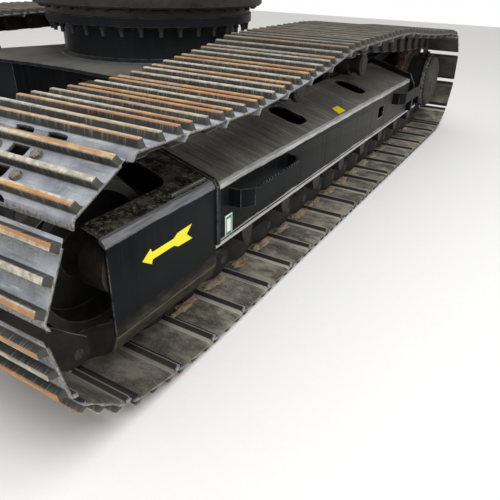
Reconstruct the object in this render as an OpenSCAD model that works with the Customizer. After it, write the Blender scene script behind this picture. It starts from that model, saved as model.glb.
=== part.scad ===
// Undercarriage of a crawler excavator: two crawlers, the car body that joins
// them, and the slewing ring on its pedestal.
// +X is forward (the idler end), +Y is left, +Z is up, and the ground is z = 0.

/* [Track] */
// Distance between the middles of the two tracks
track_gauge = 2590; // [2500:10:2700]
// Width of a track shoe
shoe_w = 700; // [600:10:800]
// Distance from pin to pin along the chain
shoe_pitch = 216; // [212:0.5:217]
// Thickness of a shoe plate
shoe_t = 12; // [8:1:16]
// Height of a shoe's bars above its plate
bar_h = 28; // [18:1:36]
// Width of a bar at its tip
bar_tip_w = 18; // [12:1:22]
// Width of a bar at its foot
bar_foot_w = 30; // [24:1:34]
// Height of the pins above the rail that the rollers run on
pin_above_rail = 63; // [58:1:68]
// Height of the shoe's inner face above the pins
shoe_above_pin = 62; // [56:1:68]
// Width of one rail of the chain
rail_w = 45; // [35:1:50]
// Distance between the middles of the two rails
rail_gauge = 165; // [150:1:180]

/* [Wheels] */
// Distance between the idler's and the sprocket's axes
wheel_base = 3920; // [3900:5:3960]
// How far the idler's axis lies above the sprocket's
idler_lift = 30; // [10:1:35]
// Height of the idler's middle flange above its treads
idler_flange = 22; // [16:1:24]
// Radius of the idler's hub
idler_hub_r = 78; // [65:1:90]
// Radius of the idler's shaft
idler_shaft_r = 40; // [32:1:50]
// Teeth of the sprocket, which meets every other bush of the chain
sprocket_teeth = 19; // [19:2:19]
// Width of the sprocket's teeth
sprocket_w = 60; // [50:1:70]
// Radius of a bush round a pin of the chain
bush_r = 32; // [28:1:34]
// Tread radius of a track roller
roller_r = 85; // [78:1:90]
// Number of track rollers on one side
roller_n = 9; // [7:1:9]
// Tread radius of a carrier roller
carrier_r = 72; // [66:1:74]
// Rise of the carried run over the tops of the idler and sprocket
carried_rise = 118; // [105:1:130]
// Clearance round a shaft in its bore
shaft_gap = 0.3; // [0.1:0.1:0.5]

/* [Side frame] */
// Width of a side frame over its bottom flanges
frame_w = 460; // [440:2:480]
// Thickness of the side frame's plates
frame_t = 12; // [8:1:16]
// How far the bottom flange stands out from the side plate
flange_lip = 12; // [6:1:20]
// Thickness of the bottom flange
flange_t = 16; // [12:1:22]
// Width of a bottom flange
flange_w = 80; // [70:1:90]
// Height of the shoulder, where the sloping cover meets the side plate
shoulder_z = 559; // [540:1:580]
// Rise of the sloping cover for each unit across
cover_slope = 0.28; // [0.2:0.01:0.32]
// Where the cover's ridge lies inward of the track's middle
ridge_in = 110; // [90:2:130]
// Front end of the side frame
frame_front_x = 1450; // [1400:5:1480]
// Rear end of the side frame
frame_rear_x = -1220; // [-1260:5:-1180]
// Thickness of an end collar
collar_t = 22; // [16:1:30]
// How far the front collar stands out all round
collar_lip = 8; // [4:1:12]
// How far the rear collar stands out all round
rear_lip = 42; // [20:1:50]
// Length of a mud slot in the sloping cover
slot_l = 196; // [180:2:210]
// Width of a mud slot
slot_w = 144; // [120:2:160]
// Width of the square hole in the side plate
side_hole_w = 110; // [80:2:130]
// Height of the square hole in the side plate
side_hole_h = 76; // [60:2:90]

/* [Idler box] */
// Front edge of the idler box
box_front_x = 2035; // [2000:5:2060]
// Height of the idler box's shoulder
box_shoulder_z = 585; // [578:1:600]
// Height where the box's side bends inward
box_bend_z = 235; // [220:1:250]
// Lower edge of the idler box
box_low_z = 172; // [160:1:190]
// How far the bent strip leans inward
box_lean = 24; // [12:1:30]
// Half width of the cut-out for the idler
box_cut_w = 130; // [120:1:140]
// Rear end of the cut-out for the idler
box_cut_x = 1610; // [1590:5:1640]

/* [Final drive] */
// Radius of the bolted rim at the drive's outer end
drive_rim_r = 220; // [200:1:235]
// Radius of the drive's drum
drive_drum_r = 200; // [180:1:205]
// Width of the bolted rim
drive_rim_w = 30; // [20:1:40]
// Radius of the drive's end cover
drive_cover_r = 204; // [180:1:210]
// How far the end cover stands out of the rim
drive_cover_w = 34; // [20:1:45]
// Radius of the travel motor
motor_r = 122; // [105:1:130]
// Length of the travel motor inward of its mounting
motor_l = 230; // [200:5:250]
// Thickness of the motor's guard
guard_t = 10; // [6:1:14]

/* [Steps] */
// Length of a step
step_l = 520; // [440:5:560]
// Length of the rear step, which ends on the rear collar
rear_step_l = 452; // [430:2:470]
// How far a step stands out from the side plate
step_out = 84; // [70:1:95]
// Height of a step's plate
step_h = 78; // [60:1:90]
// Height of a step's upper edge
step_z = 525; // [500:1:530]
// Thickness of a step's plate
step_t = 10; // [8:1:14]

/* [Car body] */
// Height of the car body's top
car_top_z = 765; // [750:1:775]
// Height of the car body's underside
car_low_z = 490; // [470:1:510]
// Thickness of the car body's top and bottom plates
car_plate_t = 20; // [14:1:26]
// How far the top and bottom plates stand out past the webs
car_lip = 30; // [20:1:40]
// Front edge of the car body at its middle
car_front_x = 865; // [840:5:890]
// Front edge of a leg where it meets the side frame
leg_front_x = 1180; // [1120:5:1220]
// Rear edge of a front leg where it meets the side frame
leg_inner_x = 790; // [740:5:840]
// Where the car body's side is drawn in between its legs
waist_y = 690; // [670:5:720]
// Upper edge of a leg's end, at the side frame
leg_top_z = 550; // [530:1:555]
// Lower edge of a leg's end, at the side frame
leg_low_z = 335; // [325:1:350]

/* [Slewing ring] */
// Outer radius of the pedestal's tube
tube_r = 585; // [570:1:590]
// Wall of the pedestal's tube
tube_t = 22; // [16:1:30]
// Underside of the pedestal's flange
ped_flange_z = 970; // [955:1:985]
// Thickness of the pedestal's flange
ped_flange_t = 50; // [40:1:60]
// How far the pedestal's flange stands out of its tube
ped_flange_w = 95; // [80:1:110]
// How far the fixed race's foot lies in from the flange's edge
race_foot_in = 12; // [6:1:20]
// Height of the fixed race's foot
race_foot_h = 40; // [34:1:44]
// How far the fixed race's neck lies in from its foot
race_neck_in = 32; // [26:1:40]
// Radial gap between the races
race_gap = 7; // [5:1:9]
// Width of the rotating race from its bore to its edge
turn_w = 107; // [95:1:120]
// Height of the rotating race
turn_h = 98; // [90:1:104]
// Gap under the rotating race
turn_gap = 8; // [6:1:12]
// Radius of the ball row between the races
ball_r = 16; // [14:1:18]
// Teeth of the fixed race's inner gear
gear_teeth = 84; // [72:6:90]
// Depth of a gear tooth
tooth_h = 26; // [20:1:30]
// Wall between the inner gear's roots and the neck
gear_wall = 50; // [44:1:60]
// How far the bolt circle lies in from the rotating race's edge
bolt_edge = 50; // [42:1:58]
// Number of bolts on that circle
bolt_n = 36; // [24:6:36]
// Radius of a bolt hole
bolt_hole_r = 12; // [10:0.5:13]

/* [Swivel] */
// Outer radius of the swivel's barrel
barrel_r = 140; // [120:2:160]
// Radius of the swivel's spindle
spindle_r = 88; // [70:1:95]
// Height of the barrel's top
barrel_top_z = 1040; // [1000:5:1060]

/* [Hidden] */
$fn = 48;

// Colours, as the photograph shows them
paint_dark = [0.11, 0.12, 0.13];
paint_dusty = [0.33, 0.31, 0.28];
steel_worn = [0.38, 0.39, 0.40];
steel_dark = [0.20, 0.20, 0.21];
ring_grey = [0.26, 0.27, 0.29];

// Heights that follow from the shoe, the link and the rollers
shoe_floor_z = shoe_t + bar_h;
rail_z = shoe_floor_z + shoe_above_pin + pin_above_rail;
// Pins on the sprocket stand a whole link apart at every other tooth
pin_r = shoe_pitch / (2 * sin(360 / sprocket_teeth));
wheel_z = shoe_floor_z + shoe_above_pin + pin_r;
idler_z = wheel_z + idler_lift;
idler_r = pin_r * cos(360 / sprocket_teeth) - pin_above_rail - shaft_gap;
idler_x = wheel_base / 2;
sprocket_x = -wheel_base / 2;
roller_z = rail_z + roller_r;

// The carried run: [x, height of the pins] from the idler back to the sprocket
carrier_x = [465, -490];
pin_carried_z = wheel_z + pin_r + carried_rise;
RUN_X = 0;
RUN_Z = 1;
CARRIED_RUN = [
    [1400, 778], [1003, 810], [680, 845], [carrier_x[0], pin_carried_z],
    [carrier_x[1], pin_carried_z], [-740, 858], [-1200, 816]
];

// Track rollers: evenly placed between the first and the last
roller_first_x = 1560;
roller_last_x = -1400;
roller_gap_x = (roller_first_x - roller_last_x) / (roller_n - 1);

// The pins' path, clockwise seen from the left: bottom run, sprocket, carried run, idler
arc_step = 6;
pin_path = concat(
    [[roller_first_x + shoe_pitch, wheel_z - pin_r]],
    [for (a = [0:arc_step:180]) [sprocket_x - pin_r * sin(a), wheel_z - pin_r * cos(a)]],
    [for (i = [len(CARRIED_RUN) - 1:-1:0]) [CARRIED_RUN[i][RUN_X], CARRIED_RUN[i][RUN_Z]]],
    [for (a = [180:-arc_step:0]) [idler_x + pin_r * sin(a), idler_z - pin_r * cos(a)]]
);

function path_len(pts, i = 0, sum = 0) =
    i >= len(pts) ? sum
    : path_len(pts, i + 1, sum + norm(pts[(i + 1) % len(pts)] - pts[i]));
function path_at(pts, s, i = 0) =
    let (a = pts[i % len(pts)], b = pts[(i + 1) % len(pts)], d = norm(b - a))
    s <= d ? a + (b - a) * s / d : path_at(pts, s - d, i + 1);

chain_len = path_len(pin_path);
shoe_n = round(chain_len / shoe_pitch);
// Where the chain stands in the photograph, as a share of a link
chain_phase = 0.503;
pins = [for (i = [0:shoe_n - 1]) path_at(pin_path, (i + chain_phase) * chain_len / shoe_n)];

// A carrier roller's axis lies under the rails of the links that pass over it
function link_z(i, x) =
    let (a = pins[i], b = pins[(i + 1) % shoe_n])
    a[1] + (b[1] - a[1]) * (x - a[0]) / (b[0] - a[0])
        - (pin_above_rail + carrier_r + shaft_gap) * norm(b - a) / abs(b[0] - a[0]);
function carrier_z(x) = min([for (i = [0:shoe_n - 1])
    let (mid = (pins[i] + pins[(i + 1) % shoe_n]) / 2)
    if (mid[1] > wheel_z + pin_r + idler_lift && abs(mid[0] - x) < shoe_pitch) link_z(i, x)]);

// One shoe's outer face from pin to pin: three bars, the end ones near its lips
bar_places = [0.13, 0.5, 0.87];
function out_of(a, b) = let (d = (b - a) / norm(b - a)) [-d[1], d[0]];
function shoe_outline(a, b) =
    let (n = out_of(a, b), t = (b - a) / norm(b - a), l = norm(b - a), h = shoe_above_pin + shoe_t)
    [for (k = bar_places, c = [[-bar_foot_w / 2, 0], [-bar_tip_w / 2, bar_h],
                               [bar_tip_w / 2, bar_h], [bar_foot_w / 2, 0]])
        a + t * (k * l + c[0]) + n * (h + c[1])];
function chain_outline(off) =
    [for (i = [0:shoe_n - 1])
        let (p = pins[i], q = pins[(i + 1) % shoe_n], o = pins[(i + shoe_n - 1) % shoe_n],
             m = out_of(o, p) + out_of(p, q))
        p + m / norm(m) * off];
shoe_band = [for (i = [0:shoe_n - 1]) each shoe_outline(pins[i], pins[(i + 1) % shoe_n])];

// Side frame: heights and half widths
flange_half = frame_w / 2;
side_half = flange_half - flange_lip;
flange_z = 305;
floor_z = rail_z + 2 * roller_r + 27;
ridge_z = shoulder_z + cover_slope * (side_half + ridge_in);
roof_drop = 0.8;
side_y = track_gauge / 2;

// Idler box: its section stands out from the side frame's by the flange lip
box_half = flange_half;
box_ridge_z = box_shoulder_z + cover_slope * (box_half + ridge_in);

// The blocks that hold a track roller's ends
block_l = 90;
block_w = 56;
block_gap = 12;
block_out = box_half - frame_t - block_gap;
block_in = block_out - block_w;

// Drive: places across the track, outward positive
mount_face = -140;
mount_back = -flange_half;
drive_face = flange_half - 25;
mount_end_r = 235;
mount_plate_t = 20;
flange_rear = 75;
flange_rear_x = roller_last_x - flange_rear;

// Slewing ring: radii outward from the tube, and heights
ped_flange_r = tube_r + ped_flange_w;
race_foot_r = ped_flange_r - race_foot_in;
race_neck_r = race_foot_r - race_neck_in;
gear_root_r = race_neck_r - gear_wall;
turn_in_r = race_neck_r + race_gap;
turn_out_r = turn_in_r + turn_w;
bolt_circle_r = turn_out_r - bolt_edge;
ped_top_z = ped_flange_z + ped_flange_t;
foot_top_z = ped_top_z + race_foot_h;
turn_z = foot_top_z + turn_gap;
turn_top_z = turn_z + turn_h;
ball_z = turn_z + turn_h * 0.45;
ball_row_r = (race_neck_r + turn_in_r) / 2;
race_top_drop = 30;
race_top_z = turn_top_z - race_top_drop;
well_r = tube_r - tube_t;

// Puts a crawler's piece on its side: 1 is left, -1 is right
module on_side(s) translate([0, s * side_y, 0]) mirror([0, s < 0 ? 1 : 0, 0]) children();
// Extrudes a [y, z] outline along x from x0 to x1
module along_x(x0, x1) translate([x0, 0, 0]) rotate([90, 0, 90]) linear_extrude(x1 - x0) children();
// Extrudes an [x, z] outline along y from y0 to y1
module along_y(y0, y1) translate([0, y1, 0]) rotate([90, 0, 0]) linear_extrude(y1 - y0) children();
// Turns an [r, y] outline round the y axis at [x, z]
module turned_y(x, z) translate([x, 0, z]) rotate([-90, 0, 0]) rotate_extrude() children();

// Car body: an X-shaped box of upright plates, hollow at the front and rear
car_nose_y = 150;
car_knee_x = 35;
car_knee_y = 560;
car_bay_y = 400;
bay_plate_t = 20;
bend_top_y = 850;
bend_low_y = 620;
leg_root_x = 620;
leg_root_y = 140;
waist_x = 220;
hand_hole_x = 300;
hand_hole_r = 130;
belly_t = 8;
belly_lap = 35;
hose_hole_y = 150;
hose_hole_w = 230;
hose_hole_z = 560;
hose_hole_h = 150;
ped_foot = 22;
ped_root = 16;
module car_outline(inset) {
    x0 = car_front_x - inset;
    x1 = leg_front_x - inset;
    x2 = leg_inner_x + inset;
    w = waist_y - inset;
    e = side_y - side_half;
    // front edge, knee, the leg's end, and the side drawn in between the legs
    quarter = [[x0, car_nose_y], [x0 + car_knee_x, car_knee_y], [x1, e], [x2, e],
               [leg_root_x + inset / 2, w + leg_root_y], [waist_x, w]];
    last = len(quarter) - 1;
    polygon(concat(
        [for (p = quarter) p],
        [for (i = [last:-1:0]) [-quarter[i][0], quarter[i][1]]],
        [for (p = quarter) [-p[0], -p[1]]],
        [for (i = [last:-1:0]) [quarter[i][0], -quarter[i][1]]]));
}
// [y, z] outline of the deck's top face, bent down to the side frames, lowered by drop
function deck_line(drop) = let (e = side_y - side_half)
    [[-e, leg_top_z - drop], [-bend_top_y, car_top_z - drop],
     [bend_top_y, car_top_z - drop], [e, leg_top_z - drop]];
// [y, z] outline of the floor's underside, raised by rise
function floor_line(rise) = let (e = side_y - side_half)
    [[e, leg_low_z + rise], [bend_low_y, car_low_z + rise],
     [-bend_low_y, car_low_z + rise], [-e, leg_low_z + rise]];
function turned_back(pts) = [for (i = [len(pts) - 1:-1:0]) pts[i]];
// An X-shaped plate of the car body with the given [y, z] section
module car_plate(section) intersection() {
    linear_extrude(car_top_z) car_outline(0);
    along_x(-leg_front_x, leg_front_x) polygon(section);
}
module car_body() color(paint_dusty) difference() {
    intersection() {
        linear_extrude(car_top_z) car_outline(car_lip);
        along_x(-leg_front_x, leg_front_x)
            polygon(concat(deck_line(car_plate_t), floor_line(car_plate_t)));
    }
    // well under the ring
    translate([0, 0, car_low_z]) cylinder(r = well_r, h = car_top_z, $fn = 96);
    // bays in front of the well and behind it
    translate([-car_front_x, -car_bay_y, car_low_z]) cube([2 * car_front_x, 2 * car_bay_y, car_top_z]);
}
// Top plate, which stands out past the webs, with the well's hole
module car_deck() color(paint_dusty) difference() {
    car_plate(concat(deck_line(0), turned_back(deck_line(car_plate_t))));
    translate([0, 0, car_low_z]) cylinder(r = well_r, h = car_top_z, $fn = 96);
}
// Bottom plate, with a hand hole in front of the swivel's foot
module car_floor() color(paint_dusty) difference() {
    car_plate(concat(floor_line(0), turned_back(floor_line(car_plate_t))));
    translate([hand_hole_x, 0, car_low_z - 1]) cylinder(r = hand_hole_r, h = car_plate_t + 2);
}
// Upright plates that close the bays; the front one has the hose opening, left of the middle
module bay_plates() color(paint_dark) for (s = [-1, 1]) difference() {
    half = car_bay_y - shaft_gap;
    translate([0, 0, car_low_z + car_plate_t])
        linear_extrude(car_top_z - car_low_z - 2 * car_plate_t) intersection() {
            difference() {
                car_outline(car_lip);
                car_outline(car_lip + bay_plate_t);
            }
            translate([s > 0 ? 0 : -car_front_x, -half]) square([car_front_x, 2 * half]);
        }
    if (s > 0) translate([0, hose_hole_y, hose_hole_z])
        cube([car_front_x, hose_hole_w, hose_hole_h]);
}
module belly_cover() color(steel_dark)
    translate([hand_hole_x, 0, car_low_z - belly_t]) cylinder(r = hand_hole_r + belly_lap, h = belly_t);

module ring_pedestal() color(ring_grey) rotate_extrude($fn = 120) polygon([
    [well_r, car_top_z], [tube_r + ped_foot, car_top_z], [tube_r, car_top_z + ped_foot],
    [tube_r, ped_flange_z - ped_root], [tube_r + ped_root, ped_flange_z], [well_r, ped_flange_z]]);
module ring_flange() color(ring_grey) rotate_extrude($fn = 120)
    translate([well_r, ped_flange_z]) square([ped_flange_r - well_r, ped_flange_t]);

module gear_hole() {
    step = 360 / gear_teeth;
    tip_r = gear_root_r - tooth_h;
    polygon([for (i = [0:gear_teeth - 1], c = [[-0.30, gear_root_r], [-0.14, tip_r],
                                                [0.14, tip_r], [0.30, gear_root_r]])
        let (a = (i + c[0]) * step) [c[1] * cos(a), c[1] * sin(a)]]);
}
module fixed_race() color(ring_grey) difference() {
    union() {
        translate([0, 0, ped_top_z]) cylinder(r = race_foot_r, h = race_foot_h, $fn = 120);
        translate([0, 0, ped_top_z]) cylinder(r = race_neck_r, h = race_top_z - ped_top_z, $fn = 120);
    }
    translate([0, 0, ped_top_z - 1]) linear_extrude(race_top_z) gear_hole();
    rotate_extrude($fn = 120) translate([ball_row_r, ball_z]) circle(r = ball_r + shaft_gap, $fn = 24);
}
module rotating_race() color(steel_dark) difference() {
    union() {
        rotate_extrude($fn = 120) polygon([
            [turn_in_r, turn_z], [turn_out_r - 12, turn_z], [turn_out_r, turn_z + 12],
            [turn_out_r, turn_top_z], [turn_in_r, turn_top_z]]);
        rotate_extrude($fn = 120) translate([ball_row_r, ball_z]) circle(r = ball_r, $fn = 24);
    }
    for (i = [0:bolt_n - 1]) rotate(i * 360 / bolt_n)
        translate([bolt_circle_r, 0, turn_z - 1]) cylinder(r = bolt_hole_r, h = turn_h + 2, $fn = 24);
}
// Hydraulic swivel: the barrel stands in the well, and the rotor turns with the race
barrel_foot = [24, 26];
barrel_band = [14, 40, 180];
barrel_floor = 60;
rotor_top = [40, 60, 110];
dog_w = 50;
dog_h = 40;
dog_z = 10;
dog_reach = 70;
module swivel_barrel() color(steel_dark) difference() {
    z0 = car_low_z + car_plate_t;
    union() {
        translate([0, 0, z0]) cylinder(r = barrel_r, h = barrel_top_z - z0);
        translate([0, 0, z0]) cylinder(r = barrel_r + barrel_foot[0], h = barrel_foot[1]);
        translate([0, 0, z0 + barrel_band[2]])
            cylinder(r = barrel_r + barrel_band[0], h = barrel_band[1]);
    }
    translate([0, 0, z0 + barrel_floor]) cylinder(r = spindle_r + shaft_gap, h = barrel_top_z);
}
module swivel_rotor() color(steel_dark) union() {
    z0 = car_low_z + car_plate_t + barrel_floor;
    translate([0, 0, z0 + shaft_gap]) cylinder(r = spindle_r, h = barrel_top_z - z0);
    translate([0, 0, barrel_top_z + shaft_gap]) cylinder(r = barrel_r, h = rotor_top[1]);
    translate([0, 0, barrel_top_z + shaft_gap])
        cylinder(r = barrel_r - rotor_top[0], h = rotor_top[2]);
    // dog that turns the rotor
    translate([0, -dog_w / 2, barrel_top_z + dog_z]) cube([barrel_r + dog_reach, dog_w, dog_h]);
}

// Side frame: [y, z] outline of its plates, drawn in by t from the outside
slot_x = [510, -405];
slot_y = 33;
slot_round = 52;
side_hole_x = -620;
side_hole_z = 400;
leg_in = flange_half - flange_w;
flange_front = 70;
module frame_roof(t, low) {
    drop = t * sqrt(1 + cover_slope * cover_slope);
    inner_z = ridge_z - roof_drop * (side_half - ridge_in);
    polygon([
        [side_half - t, low], [side_half - t, shoulder_z - drop],
        [-ridge_in, ridge_z - drop], [-side_half + t, inner_z - drop],
        [-side_half + t, low]]);
}
module mud_slot(x) {
    h = ridge_z - floor_z;
    l = slot_l / 2 - slot_round;
    w = slot_w / 2 - slot_round;
    translate([x, slot_y, ridge_z - h / 2]) {
        for (a = [-w, w], b = [-l, l]) translate([a, b]) cylinder(r = slot_round, h = h);
        translate([-slot_w / 2, -l]) cube([slot_w, 2 * l, h]);
        translate([-w, -slot_l / 2]) cube([2 * w, slot_l, h]);
    }
}
module side_frame() color(paint_dark) union() {
    difference() {
        along_x(frame_rear_x, frame_front_x) union() {
            difference() {
                frame_roof(0, flange_z);
                frame_roof(frame_t, flange_z - 1);
            }
            // floor over the rollers and the inner legs of the bottom flanges
            translate([-side_half + 1, floor_z]) square([2 * side_half - 2, frame_t]);
            for (s = [-1, 1]) translate([s > 0 ? leg_in : -leg_in - frame_t, flange_z])
                square([frame_t, floor_z - flange_z + 1]);
        }
        for (x = slot_x) mud_slot(x);
        translate([side_hole_x, side_half - frame_t - 1, side_hole_z])
            cube([side_hole_w, frame_t + 2, side_hole_h]);
    }
    // bottom flanges, narrower inside the idler box
    for (s = [-1, 1]) {
        along_x(flange_rear_x, frame_front_x + collar_t)
            translate([s > 0 ? leg_in : -flange_half, flange_z]) square([flange_w, flange_t]);
        along_x(frame_front_x, roller_first_x + flange_front)
            translate([s > 0 ? leg_in : -side_half + 1, flange_z])
                square([side_half - leg_in - 1, flange_t]);
    }
}

// End collars: plates that close the frame and stand out all round it
collar_cut = 18;
rear_cut = 46;
rod_r = 45;
rod_z = idler_z;
module collar_outline(half, shoulder, ridge, lip, c) {
    low = flange_z + flange_t;
    polygon([
        [half + lip, low], [half + lip, shoulder - c],
        [half + lip - c, shoulder + lip], [-ridge_in, ridge + lip],
        [-half - lip + c, shoulder + lip], [-half - lip, shoulder - c], [-half - lip, low]]);
}
module end_collars() color(paint_dark) {
    difference() {
        along_x(frame_front_x, frame_front_x + collar_t)
            collar_outline(box_half, box_shoulder_z, box_ridge_z, collar_lip, collar_cut);
        translate([frame_front_x - 1, 0, rod_z]) rotate([0, 90, 0])
            cylinder(r = rod_r + shaft_gap, h = collar_t + 2);
    }
    along_x(frame_rear_x - collar_t, frame_rear_x)
        collar_outline(side_half, shoulder_z, ridge_z, rear_lip, rear_cut);
}

// Idler box: the guard round the idler's yoke
box_corner = 14;
box_inner_rise = 20;
box_cut_r = 60;
module box_roof(t, low, low_half) {
    drop = t * sqrt(1 + cover_slope * cover_slope);
    h = box_half - t;
    c = box_corner;
    polygon([
        [low_half - t, low], [h, box_bend_z], [h, box_shoulder_z - c - drop / 2],
        [h - c, box_shoulder_z + cover_slope * c - drop], [-ridge_in, box_ridge_z - drop],
        [-h + c, box_shoulder_z + box_inner_rise - drop], [-h, box_shoulder_z - c - drop / 2],
        [-h, box_bend_z], [-low_half + t, low]]);
}
module idler_box() color(paint_dark) difference() {
    along_x(frame_front_x + collar_t, box_front_x) difference() {
        box_roof(0, box_low_z, box_half - box_lean);
        box_roof(frame_t, box_low_z - 1, box_half - box_lean);
    }
    // cut-out over the idler, with round inner corners
    z = box_shoulder_z - box_corner;
    h = box_ridge_z - z + 1;
    straight = box_cut_w - box_cut_r;
    translate([box_cut_x + box_cut_r, -box_cut_w, z])
        cube([box_front_x - box_cut_x, 2 * box_cut_w, h]);
    translate([box_cut_x, -straight, z]) cube([box_cut_r + 1, 2 * straight, h]);
    for (s = [-1, 1]) translate([box_cut_x + box_cut_r, s * straight, z])
        cylinder(r = box_cut_r, h = h);
}

// Idler, and the yoke that carries its shaft between two sliding blocks
tread_out = (rail_gauge + rail_w) / 2;
tread_in = (rail_gauge - rail_w) / 2;
idler_rim_t = 34;
idler_hub_half = 112;
idler_web_half = 16;
yoke_in = idler_hub_half + 6;
yoke_out = box_half - frame_t - shaft_gap;
yoke_block_r = 92;
yoke_block_l = 150;
yoke_block_h = 140;
yoke_arm_h = 110;
yoke_arm_t = 80;
yoke_cross_t = 60;
yoke_cross_x = idler_x - idler_r - idler_flange - 2 * yoke_cross_t;
module idler() color(steel_worn) turned_y(idler_x, idler_z) polygon([
    [idler_shaft_r + shaft_gap, -idler_hub_half], [idler_hub_r, -idler_hub_half],
    [idler_hub_r + 10, -idler_web_half - 20], [idler_r - idler_rim_t - 14, -idler_web_half - 8],
    [idler_r - idler_rim_t, -tread_out], [idler_r, -tread_out], [idler_r, -tread_in + 6],
    [idler_r + idler_flange, -tread_in + 14], [idler_r + idler_flange, tread_in - 14],
    [idler_r, tread_in - 6], [idler_r, tread_out], [idler_r - idler_rim_t, tread_out],
    [idler_r - idler_rim_t - 14, idler_web_half + 8], [idler_hub_r + 10, idler_web_half + 20],
    [idler_hub_r, idler_hub_half], [idler_shaft_r + shaft_gap, idler_hub_half]]);
module idler_yoke() color(steel_dark) union() {
    arm_in = yoke_out - yoke_arm_t - 20;
    arm_out = yoke_out - 20;
    // shaft and the two sliding blocks
    translate([idler_x, 0, idler_z]) rotate([90, 0, 0])
        cylinder(r = idler_shaft_r, h = 2 * yoke_in + 4, center = true);
    for (s = [-1, 1]) {
        along_y(s > 0 ? yoke_in : -yoke_out, s > 0 ? yoke_out : -yoke_in)
            translate([idler_x, idler_z]) {
                circle(r = yoke_block_r);
                translate([-yoke_block_l, -yoke_block_h / 2]) square([yoke_block_l, yoke_block_h]);
            }
        // fork arm from the block back to the cross piece
        along_y(s > 0 ? arm_in : -arm_out, s > 0 ? arm_out : -arm_in)
            translate([yoke_cross_x, idler_z - yoke_arm_h / 2])
                square([idler_x - yoke_block_l + 10 - yoke_cross_x, yoke_arm_h]);
    }
    translate([yoke_cross_x, -arm_out, idler_z - yoke_arm_h / 2])
        cube([yoke_cross_t, 2 * arm_out, yoke_arm_h]);
    // rod of the recoil unit, through the front collar
    translate([frame_front_x - collar_t, 0, rod_z]) rotate([0, 90, 0])
        cylinder(r = rod_r, h = yoke_cross_x - frame_front_x + collar_t + 1);
}

// Sprocket, final drive, its mount and the travel motor
tooth_share = [0.24, 0.10];
tooth_over = 14;
ring_lap = 42;
ring_t = 14;
hub_in = [190, 60, 34];
drive_edge = 6;
boss_r = 105;
boss_h = 12;
motor_head = [16, 70, 20];
motor_end = [26, 14];
valve_box = [140, 120, 70, 50, 30];
guard_in = 20;
guard_rear = 120;
module sprocket() color(steel_worn) {
    step = 360 / sprocket_teeth;
    root_r = pin_r - bush_r;
    tip_r = pin_r + tooth_over;
    along_y(-sprocket_w / 2, sprocket_w / 2) translate([sprocket_x, wheel_z]) difference() {
        polygon([for (i = [0:sprocket_teeth - 1],
                      c = [[-tooth_share[0], root_r], [-tooth_share[1], tip_r],
                           [tooth_share[1], tip_r], [tooth_share[0], root_r]])
            let (a = (i + c[0]) * step) [c[1] * sin(a), -c[1] * cos(a)]]);
        circle(r = drive_drum_r + shaft_gap, $fn = 64);
    }
    // bolting ring that holds the teeth to the drive
    turned_y(sprocket_x, wheel_z) translate([drive_drum_r + shaft_gap, sprocket_w / 2])
        square([ring_lap, ring_t]);
}
module final_drive() color(paint_dark) turned_y(sprocket_x, wheel_z) polygon([
    [0, mount_face], [hub_in[0], mount_face], [hub_in[0], -hub_in[1]],
    [drive_drum_r + hub_in[2], -hub_in[1]], [drive_drum_r + hub_in[2], -sprocket_w / 2],
    [drive_drum_r, -sprocket_w / 2], [drive_drum_r, drive_face - drive_rim_w],
    [drive_rim_r, drive_face - drive_rim_w], [drive_rim_r, drive_face - drive_edge],
    [drive_rim_r - drive_edge, drive_face], [drive_cover_r, drive_face],
    [drive_cover_r, drive_face + drive_cover_w / 2],
    [drive_cover_r - drive_cover_w / 2, drive_face + drive_cover_w],
    [boss_r, drive_face + drive_cover_w], [boss_r - boss_h, drive_face + drive_cover_w + boss_h],
    [0, drive_face + drive_cover_w + boss_h]]);
// The mount's form from y0 to y1: a round end that tapers to the rear collar
mount_taper = [15, 10, 40];
module mount_form(y0, y1, inset) {
    x0 = frame_rear_x - collar_t - inset;
    half = mount_end_r - mount_taper[0] - inset;
    turned_y(sprocket_x, wheel_z) translate([0, y0]) square([mount_end_r - inset, y1 - y0]);
    along_y(y0, y1) polygon([
        [x0, flange_z + flange_t + inset],
        [flange_rear_x - mount_taper[1], flange_z + flange_t + inset],
        [sprocket_x + 1, wheel_z - half], [sprocket_x + 1, wheel_z + half],
        [x0, shoulder_z + mount_taper[2] - inset]]);
}
module drive_mount() color(paint_dark) difference() {
    union() mount_form(mount_back, mount_face, 0);
    mount_form(mount_back + mount_plate_t, mount_face - mount_plate_t, mount_plate_t);
    turned_y(sprocket_x, wheel_z) translate([0, mount_back - 1])
        square([motor_r + shaft_gap, mount_face - mount_back + 2]);
}
module travel_motor() color(steel_dark) union() {
    y_end = mount_back - motor_l;
    turned_y(sprocket_x, wheel_z) polygon([
        [0, y_end], [motor_r - motor_end[0], y_end], [motor_r - motor_end[1], y_end + motor_end[1]],
        [motor_r - motor_end[1], mount_back - motor_head[1]],
        [motor_r + motor_head[0], mount_back - motor_head[1]],
        [motor_r + motor_head[0], mount_back - motor_head[2]],
        [motor_r, mount_back - motor_head[2]], [motor_r, mount_face], [0, mount_face]]);
    translate([sprocket_x - valve_box[0] / 2, y_end + valve_box[4], wheel_z + motor_r - valve_box[3]])
        cube([valve_box[0], motor_l - valve_box[1], valve_box[2]]);
}
module motor_guard() color(paint_dark) difference() {
    r = mount_end_r - guard_in;
    along_y(mount_back - motor_l - guard_in, mount_back) translate([sprocket_x, wheel_z])
        difference() {
            union() {
                intersection() {
                    circle(r = r, $fn = 64);
                    translate([-r, -r]) square([r, 2 * r]);
                }
                translate([0, -r]) square([guard_rear, 2 * r]);
            }
            circle(r = r - guard_t, $fn = 64);
            translate([0, -r + guard_t]) square([r, 2 * (r - guard_t)]);
        }
}

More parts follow.
